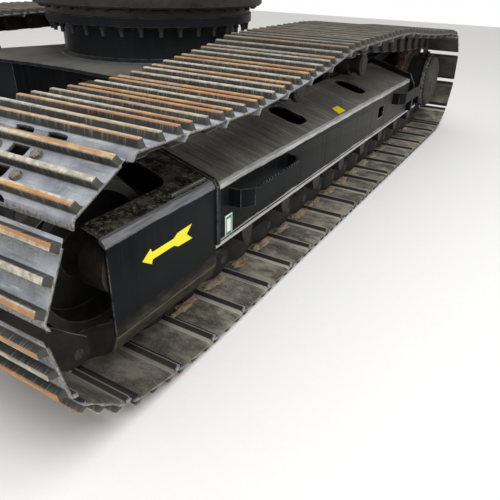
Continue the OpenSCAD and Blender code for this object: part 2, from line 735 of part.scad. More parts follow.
// Rollers: [r, y] outline with two treads, guiding flanges and end collars
roller_rim = [22, 16, 3];
roller_body_in = 16;
roller_flange = 15;
roller_neck_r = 52;
block_drop = [10, 24, 36];
module roller_outline(r, body_r, flange_r, hub_half, hub_r) polygon([
    [0, -hub_half], [hub_r, -hub_half], [hub_r, -tread_out - roller_rim[0]],
    [flange_r, -tread_out - roller_rim[1]], [flange_r, -tread_out - roller_rim[2]],
    [r, -tread_out - 1], [r, -tread_in], [body_r, -tread_in + 10],
    [body_r, tread_in - 10], [r, tread_in], [r, tread_out + 1],
    [flange_r, tread_out + roller_rim[2]], [flange_r, tread_out + roller_rim[1]],
    [hub_r, tread_out + roller_rim[0]], [hub_r, hub_half], [0, hub_half]]);
module track_rollers() color(steel_dark) for (i = [0:roller_n - 1]) {
    x = roller_first_x - i * roller_gap_x;
    union() {
        turned_y(x, roller_z) roller_outline(roller_r, roller_r - roller_body_in,
                                             roller_r + roller_flange, block_in, roller_neck_r);
        for (s = [-1, 1])
            along_y(s > 0 ? block_in : -block_out, s > 0 ? block_out : -block_in) polygon([
                [x - block_l / 2, flange_z], [x + block_l / 2, flange_z],
                [x + block_l / 2, roller_z + block_drop[0]],
                [x + block_drop[1], roller_z - block_drop[2]],
                [x - block_drop[1], roller_z - block_drop[2]],
                [x - block_l / 2, roller_z + block_drop[0]]]);
    }
}
// A carrier roller turns on a shaft from a post on the frame's inner slope
carrier_lap = 10;
carrier_flange = 6;
carrier_flange_y = [-tread_in + 5, -5];
carrier_neck_r = 58;
carrier_neck_y = [0, 50];
carrier_face = 78;
carrier_edge = 4;
carrier_cover_r = 50;
carrier_shaft_r = 30;
carrier_end = tread_out + carrier_lap;
post_in = carrier_end + 12;
post_t = 42;
post_r = 56;
post_half = 90;
module carrier_rollers() color(steel_dark) for (x = carrier_x) turned_y(x, carrier_z(x)) polygon([
    [0, -post_in - post_t - 6], [carrier_shaft_r, -post_in - post_t - 6],
    [carrier_shaft_r, -carrier_end], [carrier_r, -carrier_end], [carrier_r, -tread_in],
    [carrier_r + carrier_flange, carrier_flange_y[0]],
    [carrier_r + carrier_flange, carrier_flange_y[1]], [carrier_neck_r, carrier_neck_y[0]],
    [carrier_neck_r, carrier_neck_y[1]], [carrier_r, carrier_neck_y[1]],
    [carrier_r, carrier_face - carrier_edge], [carrier_r - carrier_edge, carrier_face],
    [carrier_cover_r, carrier_face], [carrier_cover_r, carrier_face + carrier_edge],
    [0, carrier_face + carrier_edge]]);
module carrier_brackets() color(paint_dark) for (x = carrier_x) {
    // height of the inner slope at the post's two faces
    near_z = ridge_z - roof_drop * (post_in - ridge_in);
    far_z = ridge_z - roof_drop * (post_in + post_t - ridge_in);
    z = carrier_z(x);
    difference() {
        intersection() {
            union() {
                turned_y(x, z) translate([0, -post_in - post_t]) square([post_r, post_t]);
                along_y(-post_in - post_t, -post_in) polygon([
                    [x - post_half, far_z - 1], [x + post_half, far_z - 1],
                    [x + post_r - 1, z], [x - post_r + 1, z]]);
            }
            // foot cut to the slope
            along_x(x - post_half - 1, x + post_half + 1) polygon([
                [-post_in + 1, near_z + roof_drop], [-post_in - post_t - 1, far_z - roof_drop],
                [-post_in - post_t - 1, z + 2 * post_r], [-post_in + 1, z + 2 * post_r]]);
        }
        turned_y(x, z) translate([0, -post_in - post_t - 1])
            square([carrier_shaft_r + shaft_gap, post_t + 2]);
    }
}
// Guards between the rollers, three on each face of the frame
guide_at = [1, 4, 6];
guide_t = 16;
guide_in = 4;
guide_slope = 30;
guide_gap = 20;
guide_low = 20;
guide_foot_t = 14;
module track_guides() color(steel_dark) for (i = guide_at, s = [-1, 1]) {
    x = roller_first_x - (i + 0.5) * roller_gap_x;
    l = roller_gap_x - block_l - 2 * guide_gap;
    // plate inward of the blocks, and the foot that bolts it to the flange
    y = block_in - guide_in;
    union() {
        along_y(s > 0 ? y - guide_t : -y, s > 0 ? y : -y + guide_t)
            polygon([[x - l / 2, flange_z], [x + l / 2, flange_z],
                     [x + l / 2 - guide_slope, rail_z + guide_low],
                     [x - l / 2 + guide_slope, rail_z + guide_low]]);
        along_y(s > 0 ? y : -block_out, s > 0 ? block_out : -y)
            translate([x - l / 2, flange_z - guide_foot_t]) square([l, guide_foot_t]);
    }
}

// Steps on the side plate: a looped strap with a toothed upper edge
step_front_in = 90;
step_x = [frame_front_x - step_front_in - step_l / 2,
          frame_rear_x - collar_t - step_t + rear_step_l / 2];
step_length = [step_l, rear_step_l];
step_bend = [62, 34, 6];
rear_bend = [step_bend, [20, 14, 0]];
tooth_n = 14;
tooth_run = 80;
tooth_deep = 13;
module step_outline(k, t) {
    x = step_x[k];
    l = step_length[k] / 2 - t;
    o = step_out - t;
    a = rear_bend[k];
    b = step_bend;
    polygon([
        [x - l, side_half], [x - l + a[2], side_half + o - a[1]], [x - l + a[0], side_half + o],
        [x + l - b[0], side_half + o], [x + l - b[2], side_half + o - b[1]], [x + l, side_half]]);
}
module steps() color(paint_dark) for (k = [0, 1]) difference() {
    translate([0, 0, step_z - step_h]) linear_extrude(step_h) difference() {
        step_outline(k, 0);
        step_outline(k, step_t);
        translate([step_x[k] - step_l, side_half - step_l]) square([2 * step_l, step_l]);
    }
    // notches between the teeth
    pitch = (step_length[k] - 2 * tooth_run) / tooth_n;
    for (i = [0:tooth_n - 1])
        along_y(side_half + step_out - 2 * step_t, side_half + step_out + 1)
            translate([step_x[k] + (i - tooth_n / 2 + 0.5) * pitch, step_z + 1])
                polygon([[-pitch * 0.36, 0], [pitch * 0.36, 0], [0, -tooth_deep]]);
}

// Track: shoes in the outline of one fixed loop, and the chain's two rails
module track() color(steel_worn) union() {
    along_y(-shoe_w / 2, shoe_w / 2) difference() {
        polygon(shoe_band);
        polygon(chain_outline(shoe_above_pin));
    }
    for (s = [-1, 1]) along_y(s * rail_gauge / 2 - rail_w / 2, s * rail_gauge / 2 + rail_w / 2)
        difference() {
            polygon(chain_outline(shoe_above_pin + 1));
            polygon(chain_outline(-pin_above_rail));
        }
}

car_body();
car_deck();
car_floor();
bay_plates();
belly_cover();
ring_pedestal();
ring_flange();
fixed_race();
swivel_barrel();
rotating_race();
swivel_rotor();
on_side(1) side_frame();  // side_frame_left
on_side(-1) side_frame();  // side_frame_right
on_side(1) end_collars();  // end_collars_left
on_side(-1) end_collars();  // end_collars_right
on_side(1) idler_box();  // idler_box_left
on_side(-1) idler_box();  // idler_box_right
on_side(1) idler();  // idler_left
on_side(-1) idler();  // idler_right
on_side(1) idler_yoke();  // idler_yoke_left
on_side(-1) idler_yoke();  // idler_yoke_right
on_side(1) sprocket();  // sprocket_left
on_side(-1) sprocket();  // sprocket_right
on_side(1) final_drive();  // final_drive_left
on_side(-1) final_drive();  // final_drive_right
on_side(1) drive_mount();  // drive_mount_left
on_side(-1) drive_mount();  // drive_mount_right
on_side(1) travel_motor();  // travel_motor_left
on_side(-1) travel_motor();  // travel_motor_right
on_side(1) motor_guard();  // motor_guard_left
on_side(-1) motor_guard();  // motor_guard_right
on_side(1) carrier_rollers();  // carrier_rollers_left
on_side(-1) carrier_rollers();  // carrier_rollers_right
on_side(1) carrier_brackets();  // carrier_brackets_left
on_side(-1) carrier_brackets();  // carrier_brackets_right
on_side(1) track_rollers();  // track_rollers_left
on_side(-1) track_rollers();  // track_rollers_right
on_side(1) track_guides();  // track_guides_left
on_side(-1) track_guides();  // track_guides_right
on_side(1) steps();  // steps_left
on_side(-1) steps();  // steps_right
on_side(1) track();  // track_left
on_side(-1) track();  // track_right
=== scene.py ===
import math
import random

import bmesh
import bpy
from mathutils import Matrix, Vector, noise
from mathutils.bvhtree import BVHTree


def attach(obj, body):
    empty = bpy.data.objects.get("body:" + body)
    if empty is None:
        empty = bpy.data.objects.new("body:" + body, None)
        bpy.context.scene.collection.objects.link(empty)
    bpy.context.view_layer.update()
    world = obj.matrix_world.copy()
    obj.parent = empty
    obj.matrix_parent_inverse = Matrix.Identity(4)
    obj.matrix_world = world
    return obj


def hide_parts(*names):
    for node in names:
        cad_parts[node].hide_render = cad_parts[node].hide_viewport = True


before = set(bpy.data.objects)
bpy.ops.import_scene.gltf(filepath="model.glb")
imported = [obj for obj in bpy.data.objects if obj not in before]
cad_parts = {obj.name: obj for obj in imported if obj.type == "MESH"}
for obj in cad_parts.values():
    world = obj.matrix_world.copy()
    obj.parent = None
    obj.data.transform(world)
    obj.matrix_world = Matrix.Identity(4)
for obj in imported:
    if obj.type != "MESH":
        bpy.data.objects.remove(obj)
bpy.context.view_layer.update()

# Camera: it stands in front of the left crawler and outside it, a little above the slewing
# ring, and looks back and down along the side frame.
eye = Vector((2.9256, 2.521, 1.2806))
heading, dip, roll = math.radians(210.07), math.radians(29.04), math.radians(1.55)
forward = Vector((math.cos(dip) * math.cos(heading), math.cos(dip) * math.sin(heading), -math.sin(dip)))
level = forward.cross(Vector((0, 0, 1))).normalized()
upright = level.cross(forward)
right = level * math.cos(roll) + upright * math.sin(roll)
above = upright * math.cos(roll) - level * math.sin(roll)
camera = bpy.data.objects.new("camera", bpy.data.cameras.new("camera"))
camera.matrix_world = Matrix((right, above, -forward)).transposed().to_4x4()
camera.location = eye
camera.data.lens = 36.5
camera.data.sensor_width = 36.0
camera.data.clip_start = 0.02
bpy.context.scene.collection.objects.link(camera)
bpy.context.scene.camera = camera

# Track shoes: rolled steel plates, 46 on a side. Each has three bars across it, a lip that curves
# in under the next shoe's edge, half-moon holes in the lip, two mud holes and four bolts.
SIDES = {"left": 1, "right": -1}
pitch = 0.216
shoe_width = 0.700
plate_in, plate_out, bar_tip = 0.062, 0.074, 0.102
bar_at = [0.13 * pitch, 0.5 * pitch, 0.87 * pitch]
track_y = 1.295
half_pitches_round = 19
idler_rise, carried_rise = 0.030, 0.118
pin_radius = pitch / (2 * math.sin(2 * math.pi / half_pitches_round))
sprocket_z = bar_tip + pin_radius
idler_z = sprocket_z + idler_rise
idler_x, sprocket_x = 1.960, -1.960
carried_z = sprocket_z + pin_radius + carried_rise
carried_run = [(1.400, 0.778), (1.003, 0.810), (0.680, 0.845), (0.465, carried_z),
               (-0.490, carried_z), (-0.740, 0.858), (-1.200, 0.816)]
first_roller_x = 1.560
shoe_count = 46
chain_phase = 0.503
arc_step = 6


def wheel_arc(x, z, side, angles):
    """Points of the pins' path round a wheel; side is 1 in front of it and -1 behind."""
    return [Vector((x + side * pin_radius * math.sin(math.radians(a)),
                    z - pin_radius * math.cos(math.radians(a)))) for a in angles]


def chain_pins():
    """The pins' places [x, z], evenly spaced along the chain's path."""
    path = [Vector((first_roller_x + pitch, bar_tip))]
    path += wheel_arc(sprocket_x, sprocket_z, -1, range(0, 181, arc_step))
    path += [Vector(p) for p in reversed(carried_run)]
    path += wheel_arc(idler_x, idler_z, 1, range(180, -1, -arc_step))
    spans = [(a, b, (b - a).length) for a, b in zip(path, path[1:] + path[:1])]
    total = sum(span[2] for span in spans)
    pins = []
    for i in range(shoe_count):
        left = (i + chain_phase) * total / shoe_count
        for a, b, length in spans:
            if left <= length:
                pins.append(a + (b - a) * left / length)
                break
            left -= length
    return pins


def link_places(side):
    """One matrix for each link: local x runs from pin to pin, y across, and z outward."""
    places = []
    pins = chain_pins()
    for a, b in zip(pins, pins[1:] + pins[:1]):
        along = (b - a).normalized()
        start = (a + b) / 2 - along * pitch / 2
        places.append(Matrix(((along.x, 0, -along.y, start.x),
                              (0, 1, 0, side * track_y),
                              (along.y, 0, along.x, start.y),
                              (0, 0, 0, 1))))
    return places


def shown(name, shape, material, body="chassis", sharp=40):
    """Makes a bmesh into a finished piece that rides on a body."""
    mesh = bpy.data.meshes.new(name)
    shape.to_mesh(mesh)
    shape.free()
    mesh.polygons.foreach_set("use_smooth", [True] * len(mesh.polygons))
    mesh.set_sharp_from_angle(angle=math.radians(sharp))
    piece = bpy.data.objects.new(name, mesh)
    bpy.context.scene.collection.objects.link(piece)
    mesh.materials.append(material)
    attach(piece, body)
    return piece


def drawn_on(shape, faces, step):
    """Extrudes faces by a step and gives the faces at its end."""
    made = bmesh.ops.extrude_face_region(shape, geom=faces)["geom"]
    moved = [v for v in made if isinstance(v, bmesh.types.BMVert)]
    bmesh.ops.translate(shape, verts=moved, vec=step)
    return [f for f in made if isinstance(f, bmesh.types.BMFace)]


def outline_solid(points, stops):
    """A closed bmesh: an outline [x, z] drawn along y through the stops."""
    shape = bmesh.new()
    end = [shape.faces.new([shape.verts.new((x, stops[0], z)) for x, z in points])]
    for last, stop in zip(stops, stops[1:]):
        passed = end
        end = drawn_on(shape, passed, (0, stop - last, 0))
        if last != stops[0]:
            bmesh.ops.delete(shape, geom=passed, context="FACES_ONLY")
    bmesh.ops.recalc_face_normals(shape, faces=shape.faces)
    return shape


def repeated(template, places, marked=None):
    """A bmesh with one copy of the template at each place. Each copy keeps its own place, a tone,
    and a mark on the vertices that the test "marked" picks out."""
    source = bpy.data.meshes.new("template")
    template.to_mesh(source)
    template.free()
    copies = bmesh.new()
    own = copies.verts.layers.float_vector.new("own_place")
    tone = copies.verts.layers.float.new("tone")
    mark = copies.verts.layers.float.new("mark")
    draw = random.Random(7)
    for place in places:
        first = len(copies.verts)
        copies.from_mesh(source)
        copies.verts.ensure_lookup_table()
        fresh = copies.verts[first:]
        value = draw.random()
        for vert in fresh:
            vert[own] = vert.co
            vert[tone] = value
            vert[mark] = 1.0 if marked and marked(vert.co) else 0.0
        bmesh.ops.transform(copies, matrix=place, verts=fresh)
    bpy.data.meshes.remove(source)
    return copies


bar_foot = 0.0165
bar_form = [(-bar_foot, 0), (-0.0140, 0.0018), (-0.0126, 0.0055), (-0.0100, 0.0235), (-0.0076, 0.028),
            (0.0076, 0.028), (0.0100, 0.0235), (0.0126, 0.0055), (0.0140, 0.0018), (bar_foot, 0)]
near_end = 0.004
pocket_end, pocket_slant, pocket_z = 0.025, 0.003, 0.0695
lip_from = 0.2085
rubbed_from = 0.187
lip_out = [(0.2125, 0.0730), (0.2195, 0.0692), (0.2260, 0.0618), (0.2305, 0.0500)]
lip_in = [(0.2250, 0.0455), (0.2205, 0.0540), (0.2150, 0.0595), (lip_from, plate_in)]
lip_middle_z, lip_slope = 0.0674, 1.28
valley_middle, valley_drop = 0.185 * pitch, 0.002
hole_half = 0.036
# the half-moon holes' outer rim: how far it is moved along the shoe, at each place across it
relief_arch = {0.029: 0.0066, hole_half: 0.0030, 0.050: -0.0010, 0.068: -0.0030, 0.086: -0.0010,
               0.100: 0.0030, 0.107: 0.0066}
inner_arch_share = 0.6
bar_end_in, bar_end_rise = 0.010, 0.15
edge_thinner = 0.005
same_place = 0.0005


def is_inner(place):
    """True for a place on the shoe's inner side, toward the chain."""
    if place.x > lip_from + 0.001:
        return place.z < lip_middle_z - (place.x - lip_out[0][0]) * lip_slope
    if place.x < pocket_end + pocket_slant:
        return place.z < pocket_z + 0.002
    return place.z < (plate_in + plate_out) / 2


def cut_through(shape, gone):
    """Takes faces off both sides of the plate and walls the hole between them."""
    bmesh.ops.delete(shape, geom=gone, context="FACES")
    bmesh.ops.bridge_loops(shape, edges=[e for e in shape.edges if e.is_boundary])


def shoe():
    """One shoe, from the plain edge that laps over its neighbour's lip to its own lip."""
    valleys = list(zip(bar_at, bar_at[1:]))
    outer = [(near_end, plate_out - 0.001)]
    for at in bar_at:
        outer += [(at + x, plate_out + z) for x, z in bar_form]
        if at != bar_at[-1]:
            outer.append((at + valley_middle, plate_out - valley_drop))
    inner = [(x, plate_in) for low, high in reversed(valleys)
             for x in (high - bar_foot, low + valley_middle, low + bar_foot)]
    inner += [(pocket_end + pocket_slant, plate_in), (pocket_end, pocket_z), (near_end, pocket_z)]
    half = shoe_width / 2
    across = [*relief_arch, half - bar_end_in, half]
    shape = outline_solid(outer + lip_out + lip_in + inner, [-y for y in reversed(across)] + across)
    # mud holes, through the plate between the bars
    for low, high in valleys:
        cut_through(shape, [f for f in shape.faces
                            if abs(f.calc_center_median().y) < hole_half and abs(f.normal.y) < 0.5
                            and low + bar_foot < f.calc_center_median().x < high - bar_foot])
    # half-moon holes over the links' ends, in the lip
    for side in (-1, 1):
        gone = []
        for face in shape.faces:
            middle = face.calc_center_median()
            first, last = (lip_from, lip_in[1][0]) if is_inner(middle) else (lip_out[0][0], lip_out[2][0])
            if first < middle.x < last and min(relief_arch) < side * middle.y < max(relief_arch):
                if abs(face.normal.y) < 0.5:
                    gone.append(face)
        cut_through(shape, gone)
    for vert in shape.verts:
        y = abs(vert.co.y)
        near = min(relief_arch, key=lambda at: abs(at - y))
        if abs(near - y) < same_place and abs(vert.co.x - lip_out[0][0]) < same_place:
            vert.co.x += relief_arch[near]
        if abs(near - y) < same_place and abs(vert.co.x - lip_from) < same_place:
            vert.co.x += max(0.0, relief_arch[near]) * inner_arch_share
        # the bars' ends are cut at a slant, and the plate is thinner along its end
        if y > half - 0.001 and vert.co.z > plate_out + 0.003:
            vert.co.z = plate_out + (vert.co.z - plate_out) * bar_end_rise
        if y > half - 0.001 and is_inner(vert.co):
            vert.co.z += edge_thinner
    bmesh.ops.recalc_face_normals(shape, faces=shape.faces)
    return shape


def put(kind, inputs, tree=None, **settings):
    """Adds a node, in the tree that its inputs come from if none is given. An input is a value or
    another node's socket."""
    tree = tree or next(value.id_data for value in inputs.values() if isinstance(value, bpy.types.NodeSocket))
    node = tree.nodes.new(kind)
    for name, value in settings.items():
        setattr(node, name, value)
    for key, value in inputs.items():
        if isinstance(value, bpy.types.NodeSocket):
            tree.links.new(value, node.inputs[key])
        else:
            node.inputs[key].default_value = value
    return node


def blend(share, first, second):
    """A colour between two, by a share that changes over the surface."""
    return put("ShaderNodeMix", {0: share, 6: first, 7: second}, data_type="RGBA").outputs[2]


def between(value, low, high, to_low=0.0, to_high=1.0):
    """A value brought from one range to another and held inside it."""
    return put("ShaderNodeMapRange", {"Value": value, "From Min": low, "From Max": high,
                                      "To Min": to_low, "To Max": to_high}).outputs[0]


def layered(colour, *layers):
    """A colour with others over it. A layer is (value, low, high, share, colour), and its share
    grows to the one given as the value goes from low to high."""
    for value, low, high, share, over in layers:
        colour = blend(between(value, low, high, 0.0, share), colour, over)
    return colour


def maths(operation, *values):
    """One Math node."""
    return put("ShaderNodeMath", dict(enumerate(values)), operation=operation).outputs[0]


def times(first, second):
    """One value times another."""
    return maths("MULTIPLY", first, second)


def apart(first, second):
    """How far apart two values are."""
    return maths("ABSOLUTE", maths("SUBTRACT", first, second))


def stretched(place, scale):
    """A place with a scale of its own along each axis."""
    return put("ShaderNodeMapping", {"Vector": place, "Scale": scale}).outputs[0]


def grain(place, scale, detail=4.0, rough=0.6):
    """Noise from 0 to 1 at a place. A scale of three numbers gives it a direction."""
    if isinstance(scale, tuple):
        place, scale = stretched(place, scale), 1.0
    return put("ShaderNodeTexNoise", {"Vector": place, "Scale": scale, "Detail": detail,
                                      "Roughness": rough}).outputs["Fac"]


def object_place(tree):
    """The place on the object."""
    return put("ShaderNodeTexCoord", {}, tree).outputs["Object"]


def parts_of(place):
    """The x, y and z of a place."""
    return put("ShaderNodeSeparateXYZ", {0: place}).outputs


def facing_up(tree):
    """1 where the surface faces up, 0 where it is upright, less than 0 where it faces down."""
    return parts_of(put("ShaderNodeTexCoord", {}, tree).outputs["Normal"])[2]


def own_value(tree, name, output="Fac"):
    """A value or place that the mesh itself carries."""
    return put("ShaderNodeAttribute", {}, tree, attribute_name=name).outputs[output]


def finish(name, **plain):
    """A new material with a Principled shader; plain holds values that are the same all over."""
    material = bpy.data.materials.new(name)
    material.use_nodes = True
    tree = material.node_tree
    shader = tree.nodes["Principled BSDF"]
    for key, value in plain.items():
        shader.inputs[key.replace("_", " ")].default_value = value
    return material, tree, shader


def feed(shader, bump=None, **sockets):
    """Links colours and values to a shader's inputs; bump is (height, strength, distance)."""
    if bump:
        relief = dict(zip(("Height", "Strength", "Distance"), bump))
        sockets["Normal"] = put("ShaderNodeBump", relief).outputs[0]
    for key, value in sockets.items():
        shader.id_data.links.new(value, shader.inputs[key.replace("_", " ")])


steel_dull, steel_bright = (0.225, 0.240, 0.270, 1), (0.42, 0.44, 0.475, 1)
steel_specks, steel_stains = (0.10, 0.095, 0.085, 1), (0.13, 0.13, 0.13, 1)
steel_scrapes, steel_scuffs = (0.62, 0.63, 0.62, 1), (0.72, 0.72, 0.70, 1)
pit_dark, pit_light = (0.10, 0.09, 0.075, 1), (0.40, 0.38, 0.33, 1)
flank_black, flank_brown = (0.012, 0.012, 0.010, 1), (0.045, 0.040, 0.030, 1)
drip_pale = (0.26, 0.25, 0.21, 1)
tip_cream, tip_grey = (0.62, 0.575, 0.47, 1), (0.37, 0.34, 0.28, 1)
# the tips' rear shade on this line and the shoes' rear brown below stand for dust and painted shade together
tip_pits, tip_rear_dust_and_shade = (0.17, 0.12, 0.075, 1), (0.115, 0.103, 0.085, 1)
rust_orange, rust_yellow = (0.46, 0.205, 0.065, 1), (0.60, 0.36, 0.10, 1)
bar_end_dark, rear_dust_and_shade = (0.060, 0.056, 0.048, 1), (0.050, 0.044, 0.034, 1)
mud_dark, mud_brown, mud_black = (0.050, 0.045, 0.038, 1), (0.26, 0.235, 0.19, 1), (0.052, 0.045, 0.036, 1)
mud_smears, mud_crumbs = (0.34, 0.31, 0.255, 1), (0.42, 0.39, 0.33, 1)
rubbed_pale, rubbed_line, lip_pale = (0.40, 0.37, 0.31, 1), (0.50, 0.46, 0.39, 1), (0.40, 0.37, 0.32, 1)
# grease and oil together with painted shade, for the inner side's recesses and its faces that look down
grease_and_shade_black, oil_and_shade_brown = (0.012, 0.0115, 0.011, 1), (0.032, 0.027, 0.023, 1)


def plate_shade(tree, spot, patches, fine):
    """The plate between the bars: blue-grey steel, scraped and stained, and browner and pitted on
    the shoes that face forward."""
    scuffs = grain(spot, (60.0, 260.0, 60.0), 3.0, 0.7)
    scrapes = grain(spot, (70.0, 7.0, 70.0), 6.0, 0.75)
    pits = blend(between(fine, 0.42, 0.58), pit_dark, pit_light)
    return layered(blend(between(patches, 0.36, 0.62), steel_dull, steel_bright),
                   (fine, 0.58, 0.72, 0.45, steel_specks),
                   (scrapes, 0.56, 0.68, 0.75, steel_scrapes),
                   (scrapes, 0.44, 0.36, 0.5, steel_stains),
                   (scuffs, 0.60, 0.76, 0.5, steel_scuffs),
                   (facing_up(tree), 0.45, 0.0, 0.8, pits))


def flank_shade(spot, patches, z):
    """The bars' flanks: dark, with pale drips that run down from the tip."""
    drips = maths("ADD", grain(spot, (3.0, 150.0, 4.0), 5.0, 0.75), between(z, plate_out, bar_tip, 0.0, 0.17))
    flank = blend(between(patches, 0.4, 0.7), flank_black, flank_brown)
    return layered(flank, (drips, 0.62, 0.80, 0.75, drip_pale))


def tip_shade(spot, patches, fine, x, ahead):
    """The bars' tips: cream and grey, rusty along parts of their length, and duller to the rear with dust and
    painted shade.
    """
    outer_bars = between(apart(x, pitch / 2), 0.03, 0.06, -0.07, 0.05)
    rusty = maths("ADD", grain(spot, (48.0, 1.28, 8.0), 5.0, 0.6), outer_bars)
    rusty = maths("ADD", rusty, between(ahead, 0.3, 1.3, -0.04, 0.04))
    rust = blend(between(patches, 0.52, 0.62), rust_orange, rust_yellow)
    # toward the rear the tips darken with dust and painted shade
    return layered(blend(between(grain(spot, 45.0, 4.0, 0.6), 0.4, 0.6), tip_cream, tip_grey),
                   (rusty, 0.48, 0.57, 0.9, rust),
                   (fine, 0.56, 0.70, 0.7, tip_pits),
                   (ahead, 0.9, -0.6, 0.8, tip_rear_dust_and_shade))


def inner_shade(smears, blots, fine, tone, x, ahead, height):
    """The inner side: blotches of mud, rubbed pale before the bend, black with grease and painted shade on
    the lip and in the pocket, and dark with oil and painted shade behind the idler and under the carried run."""
    rubbed = times(between(x, rubbed_from - 0.002, rubbed_from + 0.001),
                   between(maths("ADD", smears, tone), 0.5, 1.3, 0.25, 1.0))
    # grease and painted shade: the lip and the pocket, recesses between the shoes, go black
    grease_and_shade = maths("MAXIMUM", between(x, lip_from - 0.001, lip_from + 0.001),
                   between(x, pocket_end + 0.004, pocket_end + 0.002))
    # oil and painted shade: the front shoes and the carried run's inner sides, which face down, go dark
    oil_and_shade = maths("MAXIMUM", between(ahead, 1.45, 2.0, 0.0, 0.5), between(height, 0.15, 0.35, 0.0, 0.85))
    mud = layered(blend(between(smears, 0.38, 0.60), mud_dark, mud_brown),
                  (blots, 0.50, 0.62, 0.75, mud_black),
                  (blots, 0.46, 0.36, 0.6, mud_smears),
                  (fine, 0.56, 0.70, 0.6, mud_crumbs),
                  (rubbed, 0.0, 1.0, 0.9, rubbed_pale),
                  (apart(x, rubbed_from + 0.0015), 0.0022, 0.0008, 0.7, rubbed_line),
                  (grease_and_shade, 0.0, 1.0, 0.97, grease_and_shade_black),
                  (x, lip_in[0][0] - 0.0022, lip_in[0][0] - 0.0008, 0.85, lip_pale))
    return blend(oil_and_shade, mud, oil_and_shade_brown)


def shoe_steel():
    """Worn steel: each shoe has its own grain, and the shades above lie on its own parts. The
    carried run is browner and darker toward the rear, with dust and painted shade."""
    material, tree, shader = finish("shoe_steel", Metallic=0.15, Specular_IOR_Level=0.4)
    own = own_value(tree, "own_place", "Vector")
    tone, inner = own_value(tree, "tone"), own_value(tree, "mark")
    shift = put("ShaderNodeCombineXYZ", {0: times(tone, 9.0), 1: times(tone, 31.0)}).outputs[0]
    spot = put("ShaderNodeVectorMath", {0: own, 1: shift}, operation="ADD").outputs[0]
    x, y, z = parts_of(own)
    ahead, _, height = parts_of(object_place(tree))
    patches, blots = grain(spot, 9.0, 6.0, 0.6), grain(spot, 5.5, 6.0, 0.68)
    fine = grain(spot, 130.0, 4.0, 0.7)
    smears = grain(spot, (16.0, 7.0, 10.0), 7.0, 0.72)
    on_flank = times(between(z, plate_out + 0.0005, plate_out + 0.004),
                     between(z, bar_tip - 0.0008, bar_tip - 0.0045, 0.0, 0.95))
    on_tip = between(z, bar_tip - 0.0048, bar_tip - 0.002)
    colour = blend(on_flank, plate_shade(tree, spot, patches, fine), flank_shade(spot, patches, z))
    colour = blend(on_tip, colour, tip_shade(spot, patches, fine, x, ahead))
    from_end = maths("SUBTRACT", shoe_width / 2, maths("ABSOLUTE", y))
    on_bar_end = times(between(from_end, bar_end_in * 0.93, bar_end_in * 0.85),
                       between(z, plate_out + 0.0015, plate_out + 0.0035, 0.0, 0.8))
    colour = blend(on_bar_end, colour, bar_end_dark)
    # dust and painted shade: toward the rear the shoes turn a darker brown, in patches
    far = times(between(ahead, 1.1, 0.35), between(blots, 0.35, 0.65, 0.50, 0.78))
    colour = blend(far, colour, rear_dust_and_shade)
    colour = blend(inner, colour, inner_shade(smears, blots, fine, tone, x, ahead, height))
    rough = between(maths("ADD", patches, times(inner, 0.5)), 0.3, 1.0, 0.42, 0.9)
    relief = maths("ADD", times(fine, 0.5), times(smears, 0.7))
    feed(shader, Base_Color=colour, Roughness=rough, bump=(relief, 0.5, 0.004))
    return material


shoe_metal = shoe_steel()
for name, side in SIDES.items():
    shoes = shown("shoes_" + name, repeated(shoe(), link_places(side), is_inner), shoe_metal,
                  sharp=38)
    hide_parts("track_" + name)

# Shoe bolts: four hexagon heads on each shoe, in its two valleys. They clamp the shoe to the seats
# of its pair of links, and their steel is dull and caked with dirt.
bolt_radius, bolt_height = 0.0175, 0.014
bolt_y, bolt_sunk = 0.084, 0.003
head_chamfer, head_crown = 0.16, 0.12
part_dark, part_light = (0.085, 0.073, 0.06, 1), (0.30, 0.27, 0.23, 1)


def small_part_steel():
    """Dull brown-grey steel of small fixings, with dirt in its corners."""
    material, tree, shader = finish("small_part_steel", Metallic=0.3)
    place = object_place(tree)
    fine = grain(place, 90.0, 4.0, 0.7)
    colour = blend(between(fine, 0.35, 0.65), part_dark, part_light)
    rough = between(fine, 0.3, 0.7, 0.5, 0.85)
    feed(shader, Base_Color=colour, Roughness=rough, bump=(fine, 0.5, 0.003))
    return material


def hex_heads(places, radius, height):
    """Hexagon heads with a chamfered top; a place is a matrix whose z points out of the seat."""
    heads = bmesh.new()
    for place in places:
        made = bmesh.ops.create_cone(heads, cap_ends=True, segments=6, radius1=radius, radius2=radius,
                                     depth=height, matrix=place @ Matrix.Translation((0, 0, height / 2)))
        top = max((f for v in made["verts"] for f in v.link_faces),
                  key=lambda f: (place.inverted() @ f.calc_center_median()).z)
        bmesh.ops.inset_region(heads, faces=[top], thickness=radius * head_chamfer)
        bmesh.ops.translate(heads, verts=top.verts, vec=place.to_3x3() @ Vector((0, 0, height * head_crown)))
    bmesh.ops.recalc_face_normals(heads, faces=heads.faces)
    return heads


fixing_steel = small_part_steel()
for name, side in SIDES.items():
    seats = [place @ Matrix.Translation((at + valley_middle, y, plate_out - bolt_sunk))
             for place in link_places(side) for at in bar_at[:2] for y in (-bolt_y, bolt_y)]
    shown("shoe_bolts_" + name, hex_heads(seats, bolt_radius, bolt_height), fixing_steel)

